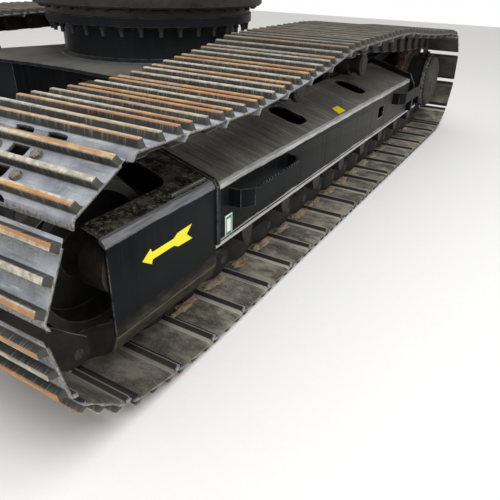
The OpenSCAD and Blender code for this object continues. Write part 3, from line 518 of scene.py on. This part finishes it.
# Track chain: forged links in pairs, each offset so that its end laps the next pair, with
# bushes pressed between them and pins through them.
link_thick = 0.0225
link_y = 0.060
bush_radius, link_pin_radius = 0.031, 0.020
pin_end_proud = 0.002
rail_z = -0.0625
bend_from, bend_to = 0.085, 0.131
link_form = [(-0.040, -0.026), (0.0, rail_z), (pitch, rail_z), (0.256, -0.026), (0.262, 0.0),
             (0.254, 0.026), (0.232, 0.042), (0.196, 0.0615), (0.024, 0.0615), (-0.014, 0.042),
             (-0.038, 0.026), (-0.046, 0.0)]
chain_black, chain_brown = (0.010, 0.009, 0.008, 1), (0.042, 0.035, 0.028, 1)
chain_specks, rail_bright = (0.02, 0.018, 0.016, 1), (0.30, 0.27, 0.24, 1)
pin_end_grey = (0.085, 0.082, 0.076, 1)


def link(side):
    """One link of a pair, with the S-bend between its two ends."""
    shape = outline_solid(link_form, [0, link_thick])
    for x in (bend_from, bend_to):
        bmesh.ops.bisect_plane(shape, geom=shape.verts[:] + shape.edges[:] + shape.faces[:],
                               plane_co=(x, 0, 0), plane_no=(1, 0, 0))
    for vert in shape.verts:
        outward = link_y + (link_thick if vert.co.x > (bend_from + bend_to) / 2 else 0)
        vert.co.y = side * (vert.co.y + outward)
    bmesh.ops.recalc_face_normals(shape, faces=shape.faces)
    return shape


def add_shape(whole, part):
    """Adds one bmesh to another and frees it."""
    held = bpy.data.meshes.new("held")
    part.to_mesh(held)
    part.free()
    whole.from_mesh(held)
    bpy.data.meshes.remove(held)


def chain_set():
    """A pair of links with their bush and pin."""
    both = bmesh.new()
    for side in (-1, 1):
        add_shape(both, link(side))
    across = Matrix.Rotation(math.pi / 2, 4, "X")
    inside = 2 * (link_y + pin_end_proud)
    for radius, length in ((bush_radius, inside), (link_pin_radius, inside + 4 * link_thick)):
        bmesh.ops.create_cone(both, cap_ends=True, segments=14, radius1=radius, radius2=radius,
                              depth=length, matrix=across)
    return both


def is_pin_end(place):
    """True for the pin's two ends, which stand just proud of the links."""
    return abs(place.y) > link_y + 2 * link_thick + 0.001


def chain_steel():
    """Dark dirty forgings, with grey pin ends, bright brown where the rollers run."""
    material, tree, shader = finish("chain_steel", Metallic=0.2)
    own = own_value(tree, "own_place", "Vector")
    place = object_place(tree)
    height = parts_of(own)[2]
    patches = grain(place, 14.0, 5.0, 0.6)
    fine = grain(place, 110.0, 4.0, 0.7)
    colour = layered(blend(between(patches, 0.35, 0.65), chain_black, chain_brown),
                     (fine, 0.5, 0.75, 0.5, chain_specks),
                     (height, rail_z + 0.0035, rail_z + 0.0005, 0.8, rail_bright))
    colour = blend(times(own_value(tree, "mark"), between(fine, 0.3, 0.6)), colour, pin_end_grey)
    rough = between(patches, 0.3, 0.7, 0.55, 0.9)
    feed(shader, Base_Color=colour, Roughness=rough, bump=(fine, 0.5, 0.004))
    return material


chain_metal = chain_steel()
for name, side in SIDES.items():
    chain = shown("chain_" + name, repeated(chain_set(), link_places(side), is_pin_end), chain_metal)
    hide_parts("track_" + name)

# Dirt along the chain: heaps of dry tan earth and dead grass that lie on the ground run's shoes,
# beside the links, and stay there because the rollers pass between them.
heap_from, heap_to = -1.62, 1.72
heap_long, heap_wide, heap_tall = (0.060, 0.095), (0.018, 0.030), (0.007, 0.018)
heap_y, heap_inner_y = 0.128, 0.1085
heap_share = 0.9
heap_grain = 21.0
earth_red, earth_tan = (0.21, 0.140, 0.088, 1), (0.47, 0.38, 0.27, 1)
earth_dark, straw_pale = (0.055, 0.042, 0.03, 1), (0.62, 0.50, 0.33, 1)


def heap(draw, across):
    """One rough heap in a shoe's own frame, where z points down on the ground run."""
    shape = bmesh.new()
    bmesh.ops.create_icosphere(shape, subdivisions=3, radius=1.0)
    long, wide, tall = [draw.uniform(*span) for span in (heap_long, heap_wide, heap_tall)]
    offset = Vector((draw.uniform(0, 50), draw.uniform(0, 50), 0))
    for vert in shape.verts:
        rough = 1.0 + 0.75 * noise.noise(vert.co * 2.3 + offset) + 0.30 * noise.noise(vert.co * 7.0 + offset)
        vert.co = Vector((vert.co.x * long, vert.co.y * wide, vert.co.z * tall)) * rough
        vert.co += Vector((pitch / 2 + draw.uniform(-0.0015, 0.0015), across * heap_y, plate_in + 0.001))
        vert.co.z = min(vert.co.z, plate_in + 0.002)
        vert.co.y = across * max(abs(vert.co.y), heap_inner_y)
    return shape


def dry_earth():
    """Crumbly tan earth with orange clay in it."""
    material, tree, shader = finish("dry_earth", Specular_IOR_Level=0.1)
    place = object_place(tree)
    lumps = grain(place, heap_grain, 6.0, 0.7)
    fine = grain(place, 190.0, 4.0, 0.75)
    straw = grain(place, (40.0, 300.0, 90.0), 4.0, 0.7)
    colour = layered(blend(between(lumps, 0.38, 0.62), earth_red, earth_tan),
                     (fine, 0.56, 0.7, 0.85, earth_dark),
                     (straw, 0.56, 0.64, 0.85, straw_pale))
    relief = maths("ADD", times(fine, 0.6), straw)
    rough = between(fine, 0.3, 0.7, 0.85, 1.0)
    feed(shader, Base_Color=colour, Roughness=rough, bump=(relief, 0.9, 0.006))
    return material


earth = dry_earth()
for name, side in SIDES.items():
    draw = random.Random(19)
    heaps = bmesh.new()
    for place in link_places(side):
        if heap_from < place.translation.x < heap_to and place.translation.z < 0.15:
            for across in (-1, 1):
                if draw.random() < heap_share:
                    one = heap(draw, across)
                    bmesh.ops.transform(one, matrix=place, verts=one.verts)
                    add_shape(heaps, one)
    bmesh.ops.recalc_face_normals(heaps, faces=heaps.faces)
    shown("dirt_heaps_" + name, heaps, earth, sharp=70)

# Side frames, end collars and steps: welded plate in black paint. Dust lies on the cover in
# streaks that run down its slope, rain streaks the side plate, which is greyer toward the rear,
# and boots and stones have rubbed the bends bare.
shoulder_y, shoulder_z = track_y + 0.218, 0.559
flange_y, flange_top_z = track_y + 0.230, 0.321
black, black_light = (0.0020, 0.0025, 0.0032, 1), (0.0048, 0.0056, 0.0068, 1)
streak_grey, dust_tan = (0.034, 0.035, 0.036, 1), (0.125, 0.112, 0.096, 1)
# painted shade: the black laid on plate faces that look at their own piece close by
shade_black = (0.006, 0.0055, 0.005, 1)
cover_brown, cover_pale = (0.085, 0.078, 0.066, 1), (0.29, 0.275, 0.245, 1)
cover_clouds, cover_grit = (0.070, 0.063, 0.053, 1), (0.045, 0.040, 0.033, 1)
cover_scratches, film_grey = (0.31, 0.295, 0.26, 1), (0.165, 0.160, 0.145, 1)


def shared(name, inputs):
    """A node group that works out a mask; gives its tree, its inputs' sockets and its mask's."""
    tree = bpy.data.node_groups.new(name, "ShaderNodeTree")
    for label, value in inputs.items():
        kind = "NodeSocketFloat" if isinstance(value, float) else "NodeSocketVector"
        socket = tree.interface.new_socket(label, in_out="INPUT", socket_type=kind)
        socket.default_value = value
    tree.interface.new_socket("Mask", in_out="OUTPUT", socket_type="NodeSocketFloat")
    given = tree.nodes.new("NodeGroupInput").outputs
    return tree, given, tree.nodes.new("NodeGroupOutput").inputs["Mask"]


def place_group(tree, group, inputs):
    """Places a shared effect in a material and gives its mask."""
    return put("ShaderNodeGroup", inputs, tree, node_tree=group).outputs["Mask"]


dust, given, mask = shared("settled_dust", {"Amount": 0.5})
place = object_place(dust)
lying = between(facing_up(dust), 0.1, 0.9, 0.12, 1.0)
patches = between(grain(place, 5.0, 6.0, 0.65), 0.38, 0.68)
fine = between(grain(place, 70.0, 3.0, 0.6), 0.25, 0.75, 0.4, 1.0)
share = times(times(lying, patches), fine)
dust.links.new(times(share, given["Amount"]), mask)

streaks, given, mask = shared("rain_streaks", {"Place": (0, 0, 0)})
steep = between(facing_up(streaks), 0.35, 0.55)
down = put("ShaderNodeMix", {0: steep, 4: stretched(given["Place"], (55.0, 55.0, 1.3)),
                             5: stretched(given["Place"], (55.0, 3.2, 3.2))}, data_type="VECTOR").outputs[1]
narrow = between(grain(down, 1.0, 6.0, 0.75), 0.40, 0.68)
broad = between(grain(down, 0.16, 3.0, 0.5), 0.35, 0.65, 0.25, 1.0)
streaks.links.new(times(narrow, broad), mask)

line_wear, given, mask = shared("wear_along_a_line", {"Place": (0, 0, 0), "Line Y": 1.5, "Line Z": 0.5,
                                                      "Reach": 0.02})
across, height = parts_of(given["Place"])[1:]
off_y = maths("SUBTRACT", maths("ABSOLUTE", across), given["Line Y"])
off_z = maths("SUBTRACT", height, given["Line Z"])
away = maths("SQRT", maths("ADD", times(off_y, off_y), times(off_z, off_z)))
wobble = grain(given["Place"], (5.0, 22.0, 22.0), 6.0, 0.7)
reach = times(given["Reach"], between(wobble, 0.3, 0.7, 0.78, 1.25))
inside = maths("SUBTRACT", reach, away)
line_wear.links.new(between(inside, -0.002, 0.003), mask)

edge_wear, given, mask = shared("worn_edges", {"Place": (0, 0, 0), "Amount": 1.0})
rubbed = between(grain(given["Place"], 16.0, 5.0, 0.7), 0.38, 0.58)
share = times(own_value(edge_wear, "edge"), rubbed)
edge_wear.links.new(times(share, given["Amount"]), mask)


def paint(name, base, light, dust_amount, edge_amount=0.8, lines=(), gloss=0.34, streaky=0.5, own=None,
          steel=(0.33, 0.33, 0.325, 1)):
    """Painted plate: two tones, streaks, dust, what own(tree, place, colour) adds, painted shade in black
    where the plate faces itself close by, and bare steel on edges and along worn lines."""
    material, tree, shader = finish(name, Specular_IOR_Level=0.06)
    place = object_place(tree)
    patches = grain(place, 4.0, 6.0, 0.65)
    fine = grain(place, 150.0, 3.0, 0.6)
    streak = times(place_group(tree, streaks, {"Place": place}), streaky)
    colour = blend(between(patches, 0.3, 0.7), base, light)
    colour = blend(times(streak, 0.6), colour, streak_grey)
    dusty = place_group(tree, dust, {"Amount": dust_amount})
    colour = blend(dusty, colour, dust_tan)
    rough = between(maths("ADD", streak, dusty), 0.0, 1.0, gloss, 0.85)
    if own:
        colour, more = own(tree, place, colour)
        rough = maths("MAXIMUM", rough, times(more, 0.85))
    # painted shade: faces closed in by their own piece turn black and lose their worn steel
    self_shade = own_value(tree, "self_shade")
    colour = blend(times(self_shade, 0.85), colour, shade_black)
    worn = place_group(tree, edge_wear, {"Place": place, "Amount": edge_amount})
    for y, z, reach in lines:
        line = place_group(tree, line_wear, {"Place": place, "Line Y": y, "Line Z": z, "Reach": reach})
        worn = maths("MAXIMUM", worn, line)
    worn = times(worn, between(self_shade, 0.0, 1.0, 1.0, 0.0))
    scuffs = grain(place, (9.0, 120.0, 120.0), 5.0, 0.7)
    shaded = tuple(0.55 * part for part in steel[:3]) + (1,)
    bare = blend(between(scuffs, 0.36, 0.62), steel, shaded)
    colour = blend(worn, colour, bare)
    rough = maths("ADD", times(rough, maths("SUBTRACT", 1.0, worn)), times(worn, 0.40))
    feed(shader, Base_Color=colour, Roughness=rough, Metallic=times(worn, 0.35),
         bump=(maths("ADD", times(fine, 0.4), dusty), 0.25, 0.002))
    return material


def dressed(node, width, material, angle=28, segments=2, body="chassis", shade_reach=0.0):
    """A copy of a CAD node with rounded edges. Its roundings carry the value "edge", and faces that
    look at the same piece within the given reach carry a mask for painted shade."""
    shape = bmesh.new()
    shape.from_mesh(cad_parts[node].data)
    bmesh.ops.remove_doubles(shape, verts=shape.verts, dist=0.00005)
    bmesh.ops.dissolve_limit(shape, angle_limit=math.radians(0.8), verts=shape.verts, edges=shape.edges)
    sharp = [e for e in shape.edges if e.is_manifold and e.calc_face_angle() > math.radians(angle)]
    edge = shape.faces.layers.float.new("edge")
    self_shade = shape.faces.layers.float.new("self_shade")
    made = bmesh.ops.bevel(shape, geom=sharp, offset=width, offset_type="OFFSET", segments=segments,
                           profile=0.5, affect="EDGES", clamp_overlap=True, material=-1)
    for face in set(made["faces"]):
        face[edge] = 1.0
    # painted shade: a face whose normal meets its own piece within the reach is marked to be blackened
    if shade_reach:
        shape.normal_update()
        around = BVHTree.FromBMesh(shape)
        for face in shape.faces:
            start = face.calc_center_median() + face.normal * 0.001
            if around.ray_cast(start, face.normal, shade_reach)[0]:
                face[self_shade] = 1.0
    piece = shown(node + "_dressed", shape, material, body, sharp=24)
    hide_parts(node)
    return piece


def frame_dirt(tree, place, colour):
    """Grey-brown dust with scratches on the cover, and grey film on the side plate's rear half."""
    up = facing_up(tree)
    cover = between(up, 0.6, 0.85)
    down_slope = grain(place, (95.0, 4.5, 4.5), 6.0, 0.75)
    clouds = grain(place, (5.0, 3.0, 3.0), 5.0, 0.6)
    grit = grain(place, 120.0, 4.0, 0.7)
    dusty = layered(blend(between(down_slope, 0.34, 0.62), cover_brown, cover_pale),
                    (clouds, 0.35, 0.65, 0.6, cover_clouds),
                    (grit, 0.52, 0.66, 0.5, cover_grit),
                    (down_slope, 0.62, 0.72, 0.8, cover_scratches))
    colour = blend(cover, colour, dusty)
    upright_part = between(maths("ABSOLUTE", up), 0.4, 0.2)
    rearward = between(parts_of(place)[0], 0.8, -1.25, 0.0, 0.46)
    lines = grain(place, (60.0, 60.0, 1.2), 5.0, 0.7)
    film_share = times(times(rearward, upright_part), between(lines, 0.3, 0.65, 0.35, 1.0))
    colour = blend(film_share, colour, film_grey)
    return colour, maths("MAXIMUM", cover, film_share)


frame_black = paint("frame_black", black, black_light, 0.35, 0.5, gloss=0.38, own=frame_dirt,
                    lines=((shoulder_y, shoulder_z, 0.018), (flange_y, flange_top_z - 0.006, 0.016)),
                    steel=(0.64, 0.64, 0.62, 1))
collar_black = paint("collar_black", (0.007, 0.007, 0.0075, 1), (0.011, 0.011, 0.012, 1), 0.25, 0.35,
                     gloss=0.24, streaky=0.15)
step_black = paint("step_black", black, black_light, 0.2, 0.32, gloss=0.42, streaky=0.35)
for name in SIDES:
    dressed("side_frame_" + name, 0.003, frame_black, shade_reach=0.5)
    dressed("end_collars_" + name, 0.004, collar_black)
    dressed("steps_" + name, 0.0015, step_black, segments=1, shade_reach=0.5)
    dressed("carrier_brackets_" + name, 0.003, frame_black)
    dressed("track_guides_" + name, 0.002, step_black)

# Idler boxes: a bent plate round each idler's slide, in the same black paint. Caked earth lies
# on its top, its upper bend is rubbed bare and its lower bend is brown with mud from the track.
box_y, box_shoulder_z, box_bend_z = track_y + 0.230, 0.585, 0.235
cake_dark, cake_brown = (0.009, 0.0085, 0.008, 1), (0.085, 0.074, 0.058, 1)
cake_crumbs, band_brown = (0.22, 0.19, 0.145, 1), (0.082, 0.067, 0.050, 1)
bend_tan = (0.17, 0.155, 0.125, 1)


def box_dirt(tree, place, colour):
    """Mottled caked earth on top, and a brown band along the lower bend."""
    top = between(facing_up(tree), 0.6, 0.85)
    z = parts_of(place)[2]
    cake = grain(place, 17.0, 7.0, 0.72)
    crumbs = grain(place, 75.0, 5.0, 0.7)
    smear = grain(place, (14.0, 30.0, 60.0), 5.0, 0.7)
    caked = layered(blend(between(cake, 0.44, 0.60), cake_dark, cake_brown),
                    (crumbs, 0.54, 0.64, 0.75, cake_crumbs))
    colour = blend(top, colour, caked)
    height = maths("ADD", z, between(cake, 0.3, 0.7, -0.018, 0.018))
    band = times(between(height, box_bend_z + 0.055, box_bend_z + 0.004),
                 between(smear, 0.35, 0.6, 0.15, 0.8))
    colour = blend(band, colour, band_brown)
    from_bend = apart(z, box_bend_z + 0.002)
    bend = times(between(from_bend, 0.0045, 0.001), between(cake, 0.35, 0.6, 0.15, 0.8))
    colour = blend(bend, colour, bend_tan)
    return colour, maths("MAXIMUM", top, band)


box_black = paint("box_black", (0.0022, 0.0028, 0.0038, 1), (0.0048, 0.0058, 0.0076, 1), 0.2, 0.5,
                  gloss=0.36, streaky=0.55, own=box_dirt, lines=((box_y - 0.004, box_shoulder_z, 0.021),),
                  steel=(0.24, 0.245, 0.255, 1))
for name in SIDES:
    dressed("idler_box_" + name, 0.004, box_black, shade_reach=0.4)

# Rib on each idler box: a square steel bar welded along the top, beside the bend. Boots have
# rubbed its paint off, and it shines silver along its edges.
rib_from, rib_to = Vector((1.488, 1.480, 0.585)), Vector((1.684, 1.493, 0.605))
rib_steel = paint("rib_steel", (0.05, 0.047, 0.043, 1), (0.12, 0.115, 0.11, 1), 0.4, 1.0,
                  steel=(0.42, 0.42, 0.41, 1))
for name, side in SIDES.items():
    rib = bmesh.new()
    middle = (rib_from + rib_to) / 2
    middle.y *= side
    bmesh.ops.create_cube(rib, size=1.0, matrix=Matrix.LocRotScale(middle, None, rib_to - rib_from))
    edge = rib.faces.layers.float.new("edge")
    made = bmesh.ops.bevel(rib, geom=rib.edges[:], offset=0.002, segments=1, profile=0.5, affect="EDGES",
                           material=-1)
    for face in made["faces"]:
        face[edge] = 1.0
    bmesh.ops.recalc_face_normals(rib, faces=rib.faces)
    shown("box_rib_" + name, rib, rib_steel)

# Films on the paint: a yellow arrow on each idler box that points to the machine's front, a
# bare white and green label behind the collar and a bare yellow one on the cover.
arrow_axis_z = 0.4515
arrow_form = [(1.8912, 0), (1.8478, 0.029), (1.8420, 0.0135), (1.7300, 0.0135), (1.7072, 0.0265),
              (1.6255, 0.029), (1.6573, 0)]
film_proud, film_sunk = 0.0008, 0.0005
label_y = shoulder_y
white_label = [(1.338, 0.317), (1.390, 0.317), (1.390, 0.412), (1.338, 0.412)]
label_x, label_z = 1.364, 0.3645
border_low, border_high = label_y + 0.0004, label_y + film_proud * 1.6
border_shares = ((0.80, 0.86), (0.56, 0.62))
cover_label = [(0.1305, 1.4249), (0.0480, 1.4253), (0.0627, 1.4833), (0.1588, 1.4816)]
cover_slope = 0.28


def film(name, first, second, scuff=(0.35, 0.30, 0.08, 1)):
    """Printed film, a little faded and scuffed."""
    material, tree, shader = finish(name)
    place = object_place(tree)
    scuffs = grain(place, (60.0, 60.0, 14.0), 4.0, 0.6)
    colour = layered(blend(between(grain(place, 12.0, 4.0, 0.5), 0.3, 0.7), first, second),
                     (scuffs, 0.68, 0.82, 0.5, scuff))
    rough = between(scuffs, 0.3, 0.7, 0.32, 0.55)
    feed(shader, Base_Color=colour, Roughness=rough, bump=(scuffs, 0.1, 0.001))
    return material


yellow_film = film("yellow_film", (0.93, 0.80, 0.004, 1), (1.0, 0.88, 0.012, 1))
white_film = film("white_film", (0.80, 0.84, 0.80, 1), (0.88, 0.91, 0.87, 1), (0.45, 0.48, 0.44, 1))
green_film = film("green_film", (0.010, 0.20, 0.075, 1), (0.016, 0.26, 0.10, 1), (0.10, 0.25, 0.15, 1))
for name, side in SIDES.items():
    points = arrow_form + [(x, -z) for x, z in reversed(arrow_form[1:-1])]
    arrow = outline_solid([(x, arrow_axis_z + z) for x, z in points],
                          [side * (box_y - film_sunk), side * (box_y + film_proud)])
    shown("arrow_" + name, arrow, yellow_film)
    label = outline_solid(white_label, [side * (label_y - film_sunk), side * (label_y + film_proud)])
    shown("white_label_" + name, label, white_film)
    # green border inside the white label's edge, as a thin frame of its own
    border = bmesh.new()
    for along, up in border_shares:
        ring = [border.verts.new((label_x + (x - label_x) * along, side * border_low,
                                  label_z + (z - label_z) * up)) for x, z in white_label]
        for ends in zip(ring, ring[1:] + ring[:1]):
            border.edges.new(ends)
    flat = bmesh.ops.bridge_loops(border, edges=border.edges[:])["faces"]
    drawn_on(border, flat, (0, side * (border_high - border_low), 0))
    bmesh.ops.recalc_face_normals(border, faces=border.faces)
    shown("label_border_" + name, border, green_film)
    plate = bmesh.new()
    low = [(x, side * y, shoulder_z + cover_slope * (shoulder_y - y) - 2 * film_sunk) for x, y in cover_label]
    face = plate.faces.new([plate.verts.new(corner) for corner in low])
    drawn_on(plate, [face], (0, 0, film_proud + 2 * film_sunk))
    bmesh.ops.recalc_face_normals(plate, faces=plate.faces)
    shown("cover_label_" + name, plate, yellow_film)

# Idlers, sprockets and rollers: castings and forgings in dark oily dirt, brown where the chain
# runs on them. The idler is near-black, partly with painted shade for the box round it.
rust_cast, edge_bright = (0.115, 0.062, 0.032, 1), (0.26, 0.25, 0.24, 1)
dirt_brown = (0.15, 0.122, 0.095, 1)


def running_steel(name, dark, light, rust_share=0.5, metal=0.4, dust_amount=0.9, edge_amount=0.4):
    """Bare steel with rust and dirt."""
    material, tree, shader = finish(name, Metallic=metal, Specular_IOR_Level=0.35)
    place = object_place(tree)
    patches = grain(place, 10.0, 6.0, 0.65)
    fine = grain(place, 100.0, 4.0, 0.7)
    colour = layered(blend(between(patches, 0.35, 0.65), dark, light),
                     (grain(place, 23.0, 5.0, 0.7), 0.5, 0.65, rust_share, rust_cast))
    dusty = place_group(tree, dust, {"Amount": dust_amount})
    colour = blend(dusty, colour, dirt_brown)
    worn = place_group(tree, edge_wear, {"Place": place, "Amount": edge_amount})
    colour = blend(worn, colour, edge_bright)
    rough = between(maths("ADD", patches, dusty), 0.3, 1.3, 0.45, 0.9)
    feed(shader, Base_Color=colour, Roughness=rough, bump=(fine, 0.4, 0.003))
    return material


# oily dirt and painted shade: the idler is near-black, for the box that closes round it
idler_steel_and_shade = running_steel("idler_steel_and_shade", (0.005, 0.005, 0.0055, 1), (0.018, 0.017, 0.0165, 1),
                            0.06, 0.2, 0.22, 0.25)
sprocket_steel = running_steel("sprocket_steel", (0.045, 0.030, 0.020, 1), (0.13, 0.083, 0.052, 1), 0.8)
dark_casting = running_steel("dark_casting", (0.008, 0.0078, 0.0075, 1), (0.026, 0.024, 0.021, 1),
                             0.15, 0.15, 0.3, 0.3)
roller_black = running_steel("roller_black", (0.0065, 0.006, 0.0055, 1), (0.018, 0.0155, 0.013, 1),
                             0.2, 0.1, 0.12, 0.05)
for name in SIDES:
    dressed("idler_" + name, 0.003, idler_steel_and_shade, angle=35)
    dressed("idler_yoke_" + name, 0.003, dark_casting)
    dressed("sprocket_" + name, 0.002, sprocket_steel, angle=35)
    dressed("carrier_rollers_" + name, 0.002, roller_black, angle=35)
    dressed("track_rollers_" + name, 0.002, roller_black, angle=35)

# Final drives, their mounts and the travel motors: blue-black painted housings. The cover's face
# is grey with dust, and its rim, rubbed bare by mud, holds a circle of bolts.
drive_rim_y, drive_face_y = 0.176, 0.205
rim_bolt_r, rim_bolt_count = 0.2115, 40
rim_head_radius, rim_head_height = 0.0072, 0.008
face_dust, rim_steel = (0.082, 0.076, 0.062, 1), (0.17, 0.165, 0.15, 1)


def drive_dirt(tree, place, colour):
    """Dust on the cover's outer face, and bare steel on the rim."""
    outward = maths("ABSOLUTE", parts_of(place)[1])
    face_at, rim_at = track_y + drive_face_y, track_y + drive_rim_y
    proud = between(outward, face_at + 0.004, face_at + 0.010)
    cloud = between(grain(place, 11.0, 6.0, 0.65), 0.30, 0.62, 0.35, 1.0)
    colour = blend(times(proud, cloud), colour, face_dust)
    rim = times(between(outward, rim_at, rim_at + 0.004), between(proud, 0.0, 1.0, 1.0, 0.0))
    scrape = between(grain(place, 34.0, 5.0, 0.7), 0.42, 0.58, 0.2, 0.95)
    colour = blend(times(rim, scrape), colour, rim_steel)
    return colour, maths("MAXIMUM", proud, rim)


def round_axis(count, radius, first=0.0):
    """Points evenly round an axis; first is the first one's share of a step."""
    angles = [(i + first) * math.tau / count for i in range(count)]
    return [(radius * math.cos(angle), radius * math.sin(angle)) for angle in angles]


drive_paint = paint("drive_paint", (0.010, 0.0125, 0.018, 1), (0.020, 0.024, 0.032, 1), 0.35, 0.4, gloss=0.4,
                    streaky=0.4, own=drive_dirt)
for name, side in SIDES.items():
    dressed("final_drive_" + name, 0.002, drive_paint, angle=35)
    dressed("drive_mount_" + name, 0.003, step_black)
    dressed("motor_guard_" + name, 0.002, step_black)
    dressed("travel_motor_" + name, 0.002, dark_casting, angle=35)
    outward = Matrix.Rotation(-side * math.pi / 2, 4, "X")
    rim_seats = [Matrix.Translation((sprocket_x + x, side * (track_y + drive_face_y - 0.001), sprocket_z + z))
                 @ outward for x, z in round_axis(rim_bolt_count, rim_bolt_r)]
    shown("drive_bolts_" + name, hex_heads(rim_seats, rim_head_radius, rim_head_height), dark_casting)

# Car body: welded plate under grey-brown dust on its deck, black in front, with a plate that
# closes each bay and a cover under the hand hole.


def deck_dirt(tree, place, colour):
    """Dust that lies on the deck and thins out toward its edges."""
    deck = between(facing_up(tree), 0.7, 0.95)
    cloud = between(grain(place, 3.0, 6.0, 0.6), 0.3, 0.65)
    lying = blend(cloud, (0.085, 0.080, 0.070, 1), (0.140, 0.132, 0.117, 1))
    return blend(deck, colour, lying), deck


body_black = paint("body_black", (0.011, 0.0115, 0.0125, 1), (0.020, 0.021, 0.0225, 1), 0.2, 0.3, gloss=0.5,
                   streaky=0.35, own=deck_dirt)
for node in ("car_body", "car_deck", "car_floor"):
    dressed(node, 0.003, body_black)
dressed("bay_plates", 0.002, step_black)
dressed("belly_cover", 0.002, step_black)

# Ring pedestal and its flange: a rolled tube welded to the deck, with the bolts that hold the
# fixed race hanging through the flange.
flange_low_z = 0.970
hang_r, hang_count = 0.650, 36
nut_radius, nut_height = 0.0185, 0.021
shank_radius, shank_tip_radius, shank_length, shank_middle = 0.0125, 0.0115, 0.030, 0.0385
upside_down = Matrix.Rotation(math.pi, 4, "X")
ring_grey = paint("ring_grey", (0.009, 0.0100, 0.0120, 1), (0.017, 0.0185, 0.021, 1), 0.3, 0.25,
                  gloss=0.34, streaky=0.3)
dressed("ring_pedestal", 0.002, ring_grey)
dressed("ring_flange", 0.003, ring_grey, angle=35)
race_steel = running_steel("race_steel", (0.020, 0.0195, 0.0185, 1), (0.048, 0.046, 0.042, 1),
                           0.15, 0.3, 0.5, 0.3)
hangers = [Matrix.Translation((x, y, flange_low_z + 0.001)) @ upside_down
           for x, y in round_axis(hang_count, hang_r, 0.5)]
shown("flange_nuts", hex_heads(hangers, nut_radius, nut_height), dark_casting)
shanks = bmesh.new()
for place in hangers:
    bmesh.ops.create_cone(shanks, cap_ends=True, segments=12, radius1=shank_radius, radius2=shank_tip_radius,
                          depth=shank_length, matrix=place @ Matrix.Translation((0, 0, shank_middle)))
shown("flange_bolt_ends", shanks, race_steel)

# Weld round the pedestal's foot: one bead in the corner between tube and deck, laid in short
# steps, so that it ripples. It is paler than the tube above it.
bead_r, bead_z = 0.6085, 0.765
bead_steps, bead_half, bead_flat = 240, 0.0075, 0.8
bead_ripples, ripple = 48, 0.14
bead = bmesh.new()
bead_form = Matrix.LocRotScale((bead_r, 0, bead_z), None, (bead_half, 1, bead_half * bead_flat))
bmesh.ops.create_circle(bead, segments=8, radius=1.0,
                        matrix=bead_form @ Matrix.Rotation(math.pi / 2, 4, "X"))
bmesh.ops.spin(bead, geom=bead.verts[:] + bead.edges[:], cent=(0, 0, 0), axis=(0, 0, 1), angle=math.tau,
               steps=bead_steps, use_merge=True)
for vert in bead.verts:
    angle = math.atan2(vert.co.y, vert.co.x)
    middle = Vector((bead_r * math.cos(angle), bead_r * math.sin(angle), bead_z))
    vert.co = middle + (vert.co - middle) * (1 + ripple * math.sin(bead_ripples * angle))
bmesh.ops.recalc_face_normals(bead, faces=bead.faces)
weld_paint = paint("weld_paint", (0.06, 0.06, 0.064, 1), (0.15, 0.15, 0.155, 1), 0.4, 0.0)
shown("pedestal_weld", bead, weld_paint)

# Slewing ring and swivel: dark oily machined steel. The rotating race turns with the upper
# works; the heads of the bolts that hold it hang below it.
turn_low_z, race_bolt_r = 1.068, 0.700
race_head_radius, race_head_height = 0.0175, 0.017
dressed("fixed_race", 0.0015, race_steel, angle=35)
dressed("rotating_race", 0.002, race_steel, angle=35, body="turntable")
dressed("swivel_barrel", 0.002, dark_casting, angle=35)
dressed("swivel_rotor", 0.002, dark_casting, angle=35, body="turntable")
race_seats = [Matrix.Translation((x, y, turn_low_z + 0.001)) @ upside_down
              for x, y in round_axis(hang_count, race_bolt_r)]
shown("race_bolts", hex_heads(race_seats, race_head_radius, race_head_height), dark_casting, "turntable")

# Floor and light, which are stage and no part of the machine: a plain pale floor under the tracks,
# one broad lamp above the front left corner and an even white surround.
floor_reach = 14.0
floor_shape = bmesh.new()
bmesh.ops.create_grid(floor_shape, x_segments=1, y_segments=1, size=floor_reach)
floor_mesh = bpy.data.meshes.new("floor")
floor_shape.to_mesh(floor_mesh)
floor_shape.free()
floor_paint, tree, shader = finish("floor_paint")
speckle = grain(object_place(tree), 30.0, 6.0, 0.7)
feed(shader, Base_Color=blend(speckle, (0.82, 0.815, 0.80, 1), (0.87, 0.865, 0.85, 1)),
     Roughness=between(speckle, 0.3, 0.7, 0.85, 0.95))
floor_mesh.materials.append(floor_paint)
floor = bpy.data.objects.new("floor", floor_mesh)
floor.location.z = -0.001
bpy.context.scene.collection.objects.link(floor)

lamp_data = bpy.data.lights.new("broad_lamp", "AREA")
lamp_data.shape = "SQUARE"
lamp_data.size = 5.0
lamp_data.energy = 290.0
lamp = bpy.data.objects.new("broad_lamp", lamp_data)
lamp.location = (2.2, 3.6, 6.0)
lamp.rotation_euler = (Vector((0.6, 0.8, 0.3)) - lamp.location).to_track_quat("-Z", "Y").to_euler()
bpy.context.scene.collection.objects.link(lamp)

world = bpy.data.worlds.new("surround")
bpy.context.scene.world = world
world.use_nodes = True
tree = world.node_tree
seen = put("ShaderNodeLightPath", {}, tree).outputs["Is Camera Ray"]
back = tree.nodes["Background"]
back.inputs["Color"].default_value = (1, 1, 1, 1)
tree.links.new(between(seen, 0.0, 1.0, 0.72, 1.0), back.inputs["Strength"])
bpy.context.scene.view_settings.view_transform = "Standard"
